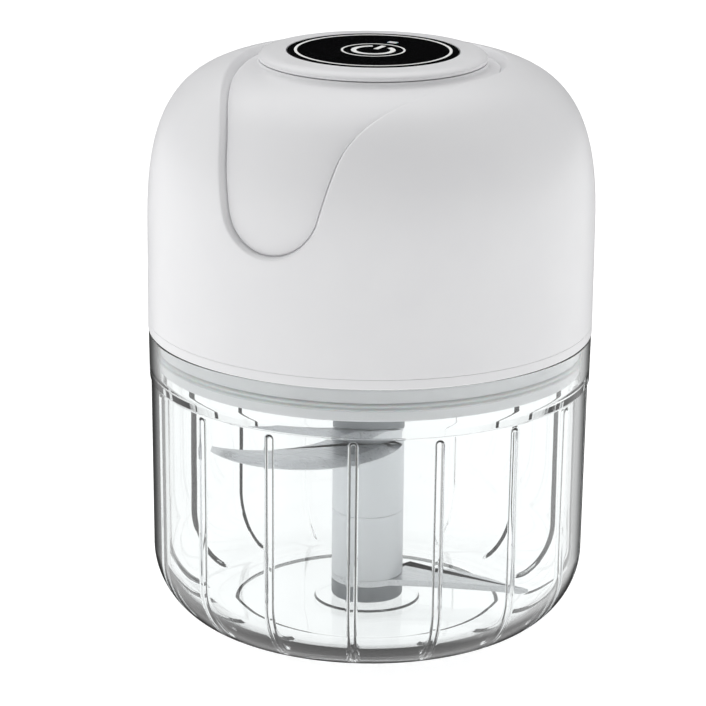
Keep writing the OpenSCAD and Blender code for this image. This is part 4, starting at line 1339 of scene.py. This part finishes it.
class PROCESSOR_OT_port_cover(bpy.types.Operator):
    """Make the soft cover over the charging port"""
    bl_idname = "processor.port_cover"
    bl_label = "Charging cover"

    def execute(self, context):
        half_w, half_h = FLAP_W / 2, FLAP_H / 2

        def outline(draw_in):
            w, h, bend = half_w - draw_in, half_h - draw_in, 0.55 - draw_in * 0.5
            loop = []
            for cx, cz, a0 in ((1, 1, 0), (-1, 1, 90), (-1, -1, 180), (1, -1, 270)):
                for k in range(5):
                    a = math.radians(a0 + 22.5 * k)
                    loop.append((cx * (w - bend) + bend * math.cos(a),
                                 cz * (h - bend) + bend * math.sin(a)))
            out = []
            for p, q in zip(loop, loop[1:] + loop[:1]):
                parts = max(1, round(math.dist(p, q) / 1.2))
                out += [(p[0] + (q[0] - p[0]) * k / parts, p[1] + (q[1] - p[1]) * k / parts)
                        for k in range(parts)]
            return out

        points, faces, rows = [], [], []

        def place(x, z, r):
            a = math.pi / 2 - x / BODY_R
            points.append((r * math.cos(a), r * math.sin(a), PORT_Z + z))

        for draw_in, r in ((0.35, BODY_R - FLAP_T), (0.05, BODY_R - FLAP_T),
                           (0.0, BODY_R - FLAP_T + 0.1), (0.0, BODY_R - 0.25),
                           (0.08, BODY_R - 0.08), (0.28, BODY_R)):
            loop = outline(draw_in)
            rows.append(list(range(len(points), len(points) + len(loop))))
            for x, z in loop:
                place(x, z, r)
        count = len(rows[0])
        for one, two in zip(rows, rows[1:]):
            faces += [[one[i], one[(i + 1) % count], two[(i + 1) % count], two[i]]
                      for i in range(count)]
        for row, r, draw_in in ((rows[0], BODY_R - FLAP_T, 0.35), (rows[-1], BODY_R, 0.28)):
            loop = outline(draw_in)
            free = [(x * 1.1, z * 1.1) for x in range(-6, 7) for z in range(-4, 5)
                    if abs(x * 1.1) < half_w - draw_in - 0.5
                    and abs(z * 1.1) < half_h - draw_in - 0.4]
            _, _, tris, origin, _, _ = geometry.delaunay_2d_cdt(
                [Vector(p) for p in loop + free],
                [(i, (i + 1) % len(loop)) for i in range(len(loop))], [], 1, 1e-6)
            first = len(points)
            for x, z in free:
                dent = 0.35 * math.exp(-((x / 2.6) ** 2 + ((z + 3.0) / 0.9) ** 2))
                place(x, z, r - (dent if r == BODY_R else 0.0))
            name = row + list(range(first, len(points)))
            faces += [[name[origin[i][0]] for i in f] for f in tris]
        plug = block((-3.2, BODY_R - FLAP_T - 0.75, PORT_Z - 0.65),
                     (3.2, BODY_R - FLAP_T + 0.2, PORT_Z + 0.65), 0.25)
        cover = show("charging_cover", make_mesh("charging_cover", [(points, faces), plug]))
        settle(cover, "port_cover", "silicone", "port_cover")
        return {"FINISHED"}


# ---------------------------------------------------------------- pieces kept from the CAD

class PROCESSOR_OT_inner_parts(bpy.types.Operator):
    """Give every CAD node that is still shown the material of its slot"""
    bl_idname = "processor.inner_parts"
    bl_label = "Inner parts"

    def execute(self, context):
        slots = {
            "pivot_bush": "white_acetal", "stem_core": "pale_grey_plastic",
            "button_symbol": "white_print", "button_plunger": "white_acetal",
            "light_pipe": "light_guide", "motor_can": "steel", "motor_magnets": "ferrite",
            "motor_end_cap": "white_acetal", "motor_bushes": "bronze",
            "shaft_seal": "dark_silicone", "motor_shaft": "steel", "motor_rotor": "copper",
            "chassis": "white_acetal", "control_board": "board_green",
            "tact_switch": "dark_plastic", "status_leds": "light_guide",
            "battery_cells": "cell_wrap", "battery_holder": "white_acetal",
            "battery_tabs": "steel", "charge_board": "board_green", "usb_socket": "steel",
            "battery_leads": "wire_jacket", "motor_leads": "wire_jacket"}
        for node, slot in slots.items():
            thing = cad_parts[node]
            finish = material(slot, context.scene.processor_finish)
            if not thing.material_slots:
                raise RuntimeError(node + " has no material slot")
            for place in thing.material_slots:
                place.link = "OBJECT"
                place.material = finish
        return {"FINISHED"}


# ---------------------------------------------------------------- stage

class PROCESSOR_OT_stage(bpy.types.Operator):
    """Make the floor, the light and the camera"""
    bl_idname = "processor.stage"
    bl_label = "Stage"

    def execute(self, context):
        scene, want = context.scene, context.scene.processor_stage
        scene.view_settings.view_transform = "Standard"
        floor = show("floor", make_mesh("floor", [lathe(
            [(0, -0.02), (400, -0.02), (1200, -0.02), (4000, -0.02)], even(64), False)],
            turn_out=False))
        made, tree = new_material("Pale paper")
        place = add_node(tree, "ShaderNodeTexCoord").outputs["Object"]
        fibre = add_node(tree, "ShaderNodeTexNoise", {"Vector": place, "Scale": 900.0})
        bump = add_node(tree, "ShaderNodeBump", {
            "Height": fibre.outputs["Fac"], "Strength": 0.05, "Distance": 0.0001})
        shader = add_node(tree, "ShaderNodeBsdfPrincipled", {
            "Base Color": (*want.floor_colour, 1.0), "Roughness": 0.9,
            "Specular IOR Level": 0.0, "Emission Color": (1, 1, 1, 1),
            "Emission Strength": want.floor_glow, "Normal": bump.outputs["Normal"]})
        floor.data.materials.append(close_material(made, tree, shader))
        floor.visible_glossy = floor.visible_transmission = False
        floor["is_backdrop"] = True

        world = bpy.data.worlds.new("Studio")
        scene.world = world
        world.use_nodes = True
        tree = world.node_tree
        tree.nodes.clear()
        sight = add_node(tree, "ShaderNodeLightPath")
        bearing = math.radians(26.4)

        def towards(turn, rise):
            """A direction out from the object; turn is measured from the camera's side."""
            a, e = bearing + math.radians(turn), math.radians(rise)
            return Vector((math.sin(a) * math.cos(e), -math.cos(a) * math.cos(e), math.sin(e)))

        ray = add_node(tree, "ShaderNodeTexCoord").outputs["Generated"]

        height = add_node(tree, "ShaderNodeSeparateXYZ", {"Vector": ray}).outputs["Z"]
        toward, rear, behind, away, across = (
            add_node(tree, "ShaderNodeVectorMath", {0: ray, 1: way},
                     operation="DOT_PRODUCT").outputs["Value"]
            for way in (towards(10, 35), towards(180, 10), towards(197, 65),
                        towards(180, -15), towards(90, 0)))
        wide = add_node(tree, "ShaderNodeMath", (across,), operation="ABSOLUTE")
        # smooth steps: what is read, where the step starts and ends, and its two levels
        ceiling, table, far_table, panel, clear, deep, right, left, rims = (
            add_node(tree, "ShaderNodeMapRange", row, interpolation_type="SMOOTHSTEP")
            for row in ((behind, 0.7, 1.0, 0.0, want.ceiling), (height, -0.06, 0.04, 1.1, 0.03),
                        (away, 0.75, 0.95, 1.0, 0.06), (behind, 0.78, 0.93, 0.0, want.panel),
                        (height, 0.05, 0.2, 1.1, 0.02), (height, 0.5, 0.8, 0.95, 0.1),
                        (across, 0.15, 0.5, want.room, 0.55), (across, -0.5, -0.15, 0.2, 0.0),
                        (wide, 0.55, 0.75, 0.0, 0.6)))
        # what lights the object: an even sky, dark on the camera's side, over a bright table
        lobe = add_node(tree, "ShaderNodeMath", (toward, 0.0), operation="MAXIMUM")
        lobe = add_node(tree, "ShaderNodeMath", (lobe, 1.8), operation="POWER")
        lit = add_node(tree, "ShaderNodeMath", (lobe, -want.front_shade, 1.0),
                       operation="MULTIPLY_ADD")
        lit = add_node(tree, "ShaderNodeMath", (lit, want.sky, ceiling), operation="MULTIPLY_ADD")
        under = add_node(tree, "ShaderNodeMath", (height, 0.0), operation="LESS_THAN")
        lit = add_node(tree, "ShaderNodeMix", {0: under, 2: lit, 3: want.table},
                       data_type="FLOAT")
        lobe = add_node(tree, "ShaderNodeMath", (rear, 0.0), operation="MAXIMUM")
        lobe = add_node(tree, "ShaderNodeMath", (lobe, 3.0), operation="POWER")
        shade = add_node(tree, "ShaderNodeMath", (lobe, -want.rear_shade, 1.0),
                         operation="MULTIPLY_ADD")
        lit = add_node(tree, "ShaderNodeMath", (lit, shade), operation="MULTIPLY")
        # what a surface mirrors: the table, a dim room above it, and a bright ceiling
        mirrored = add_node(tree, "ShaderNodeMath", (table, far_table, panel),
                            operation="MULTIPLY_ADD")
        # what shows through the cup, and what its thick edges bend into view
        bounced, entered, crossed, soft = (
            add_node(tree, "ShaderNodeMath", (sight.outputs[depth], level),
                     operation="GREATER_THAN")
            for depth, level in (("Glossy Depth", 0.5), ("Transmission Depth", 0.5),
                                 ("Transmission Depth", 2.5), ("Diffuse Depth", 0.5)))
        edge = add_node(tree, "ShaderNodeMath", (right, left), operation="ADD")
        edge = add_node(tree, "ShaderNodeMath", (edge, rims), operation="ADD")
        inside = add_node(tree, "ShaderNodeMix", {0: crossed, 2: edge, 3: deep},
                          data_type="FLOAT")
        seen = add_node(tree, "ShaderNodeMix", {0: entered, 2: mirrored, 3: inside},
                        data_type="FLOAT")
        seen = add_node(tree, "ShaderNodeMix", {0: bounced, 2: clear, 3: seen},
                        data_type="FLOAT")
        gain = add_node(tree, "ShaderNodeMath", (entered, want.cup_light - 1, 1.0),
                        operation="MULTIPLY_ADD")
        lit = add_node(tree, "ShaderNodeMath", (lit, gain), operation="MULTIPLY")
        strength = add_node(tree, "ShaderNodeMix", {0: soft, 2: seen, 3: lit},
                            data_type="FLOAT")
        glow = add_node(tree, "ShaderNodeBackground", {
            "Color": (1, 1, 1, 1), "Strength": strength})
        add_node(tree, "ShaderNodeOutputWorld", {"Surface": glow.outputs[0]})

        lo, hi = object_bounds()
        middle = (lo + hi) / 2

        def lamp(name, turn, rise, away, size, power):
            """A square lamp that looks at the object; turn is measured from the camera."""
            side = towards(turn, rise)
            data = bpy.data.lights.new(name, "AREA")
            data.size, data.energy = size, power
            thing = bpy.data.objects.new(name, data)
            scene.collection.objects.link(thing)
            thing.location = middle + side * away
            thing.rotation_mode = "QUATERNION"
            thing.rotation_quaternion = side.to_track_quat("Z", "Y")

        lamp("key", -60, 40, 1.2, 0.8, want.key)
        lamp("fill", 75, 50, 1.2, 0.8, want.fill)

        # camera: 612 mm away on the level, turned to the object's front right
        tilt, pan, roll = 0.2922, -0.00535, 0.0105
        ahead = Vector((math.sin(pan) * math.cos(tilt), math.cos(pan) * math.cos(tilt),
                        -math.sin(tilt)))
        right = Vector((math.cos(pan), -math.sin(pan), 0))
        up = right.cross(ahead)
        right, up = (right * math.cos(roll) + up * math.sin(roll),
                     up * math.cos(roll) - right * math.sin(roll))
        turn = Matrix.Rotation(bearing, 3, "Z")
        columns = [turn @ right, turn @ up, turn @ -ahead]
        eye = bpy.data.cameras.new("camera")
        eye.lens, eye.sensor_width = 165.43, 36.0
        eye.clip_start, eye.clip_end = 0.01, 20.0
        camera = bpy.data.objects.new("camera", eye)
        scene.collection.objects.link(camera)
        camera.matrix_world = Matrix.Translation(turn @ Vector((0, -0.612, 0.2370))) @ Matrix(
            [[c[i] for c in columns] for i in range(3)]).to_4x4()
        scene.camera = camera
        return {"FINISHED"}


# ---------------------------------------------------------------- panel and start

class PROCESSOR_PT_pieces(bpy.types.Panel):
    """Lists the pieces and their settings."""
    bl_idname = "PROCESSOR_PT_pieces"
    bl_label = "Mini Food Processor"
    bl_space_type = "VIEW_3D"
    bl_region_type = "UI"
    bl_category = "Processor"

    def draw(self, context):
        for operator, settings in (
                (PROCESSOR_OT_cup, "processor_cup"), (PROCESSOR_OT_dome, "processor_dome"),
                (PROCESSOR_OT_head_base, None), (PROCESSOR_OT_button, None),
                (PROCESSOR_OT_spring, None), (PROCESSOR_OT_blades, "processor_blade"),
                (PROCESSOR_OT_screws, None), (PROCESSOR_OT_port_cover, None),
                (PROCESSOR_OT_inner_parts, "processor_finish"),
                (PROCESSOR_OT_stage, "processor_stage")):
            box = self.layout.box()
            box.operator(operator.bl_idname)
            if settings:
                group = getattr(context.scene, settings)
                for key in group.__annotations__:
                    box.prop(group, key)


GROUPS = {"processor_cup": CupSettings, "processor_dome": DomeSettings,
          "processor_blade": BladeSettings, "processor_finish": FinishSettings,
          "processor_stage": StageSettings}
CLASSES = (*GROUPS.values(), PROCESSOR_OT_cup, PROCESSOR_OT_dome, PROCESSOR_OT_head_base,
           PROCESSOR_OT_button, PROCESSOR_OT_spring, PROCESSOR_OT_blades, PROCESSOR_OT_screws,
           PROCESSOR_OT_port_cover, PROCESSOR_OT_inner_parts, PROCESSOR_OT_stage,
           PROCESSOR_PT_pieces)


def register():
    """Registers the classes and hangs the settings on the scene."""
    for kind in CLASSES:
        bpy.utils.register_class(kind)
    for name, kind in GROUPS.items():
        setattr(bpy.types.Scene, name, bpy.props.PointerProperty(type=kind))


def unregister():
    """Removes the settings and the classes."""
    for name in GROUPS:
        delattr(bpy.types.Scene, name)
    for kind in reversed(CLASSES):
        bpy.utils.unregister_class(kind)


def main():
    """Makes every piece and the stage."""
    register()
    bpy.ops.processor.cup()
    bpy.ops.processor.dome()
    bpy.ops.processor.head_base()
    bpy.ops.processor.button()
    bpy.ops.processor.spring()
    bpy.ops.processor.blades()
    bpy.ops.processor.screws()
    bpy.ops.processor.port_cover()
    bpy.ops.processor.inner_parts()
    bpy.ops.processor.stage()


if __name__ == "__main__":
    main()
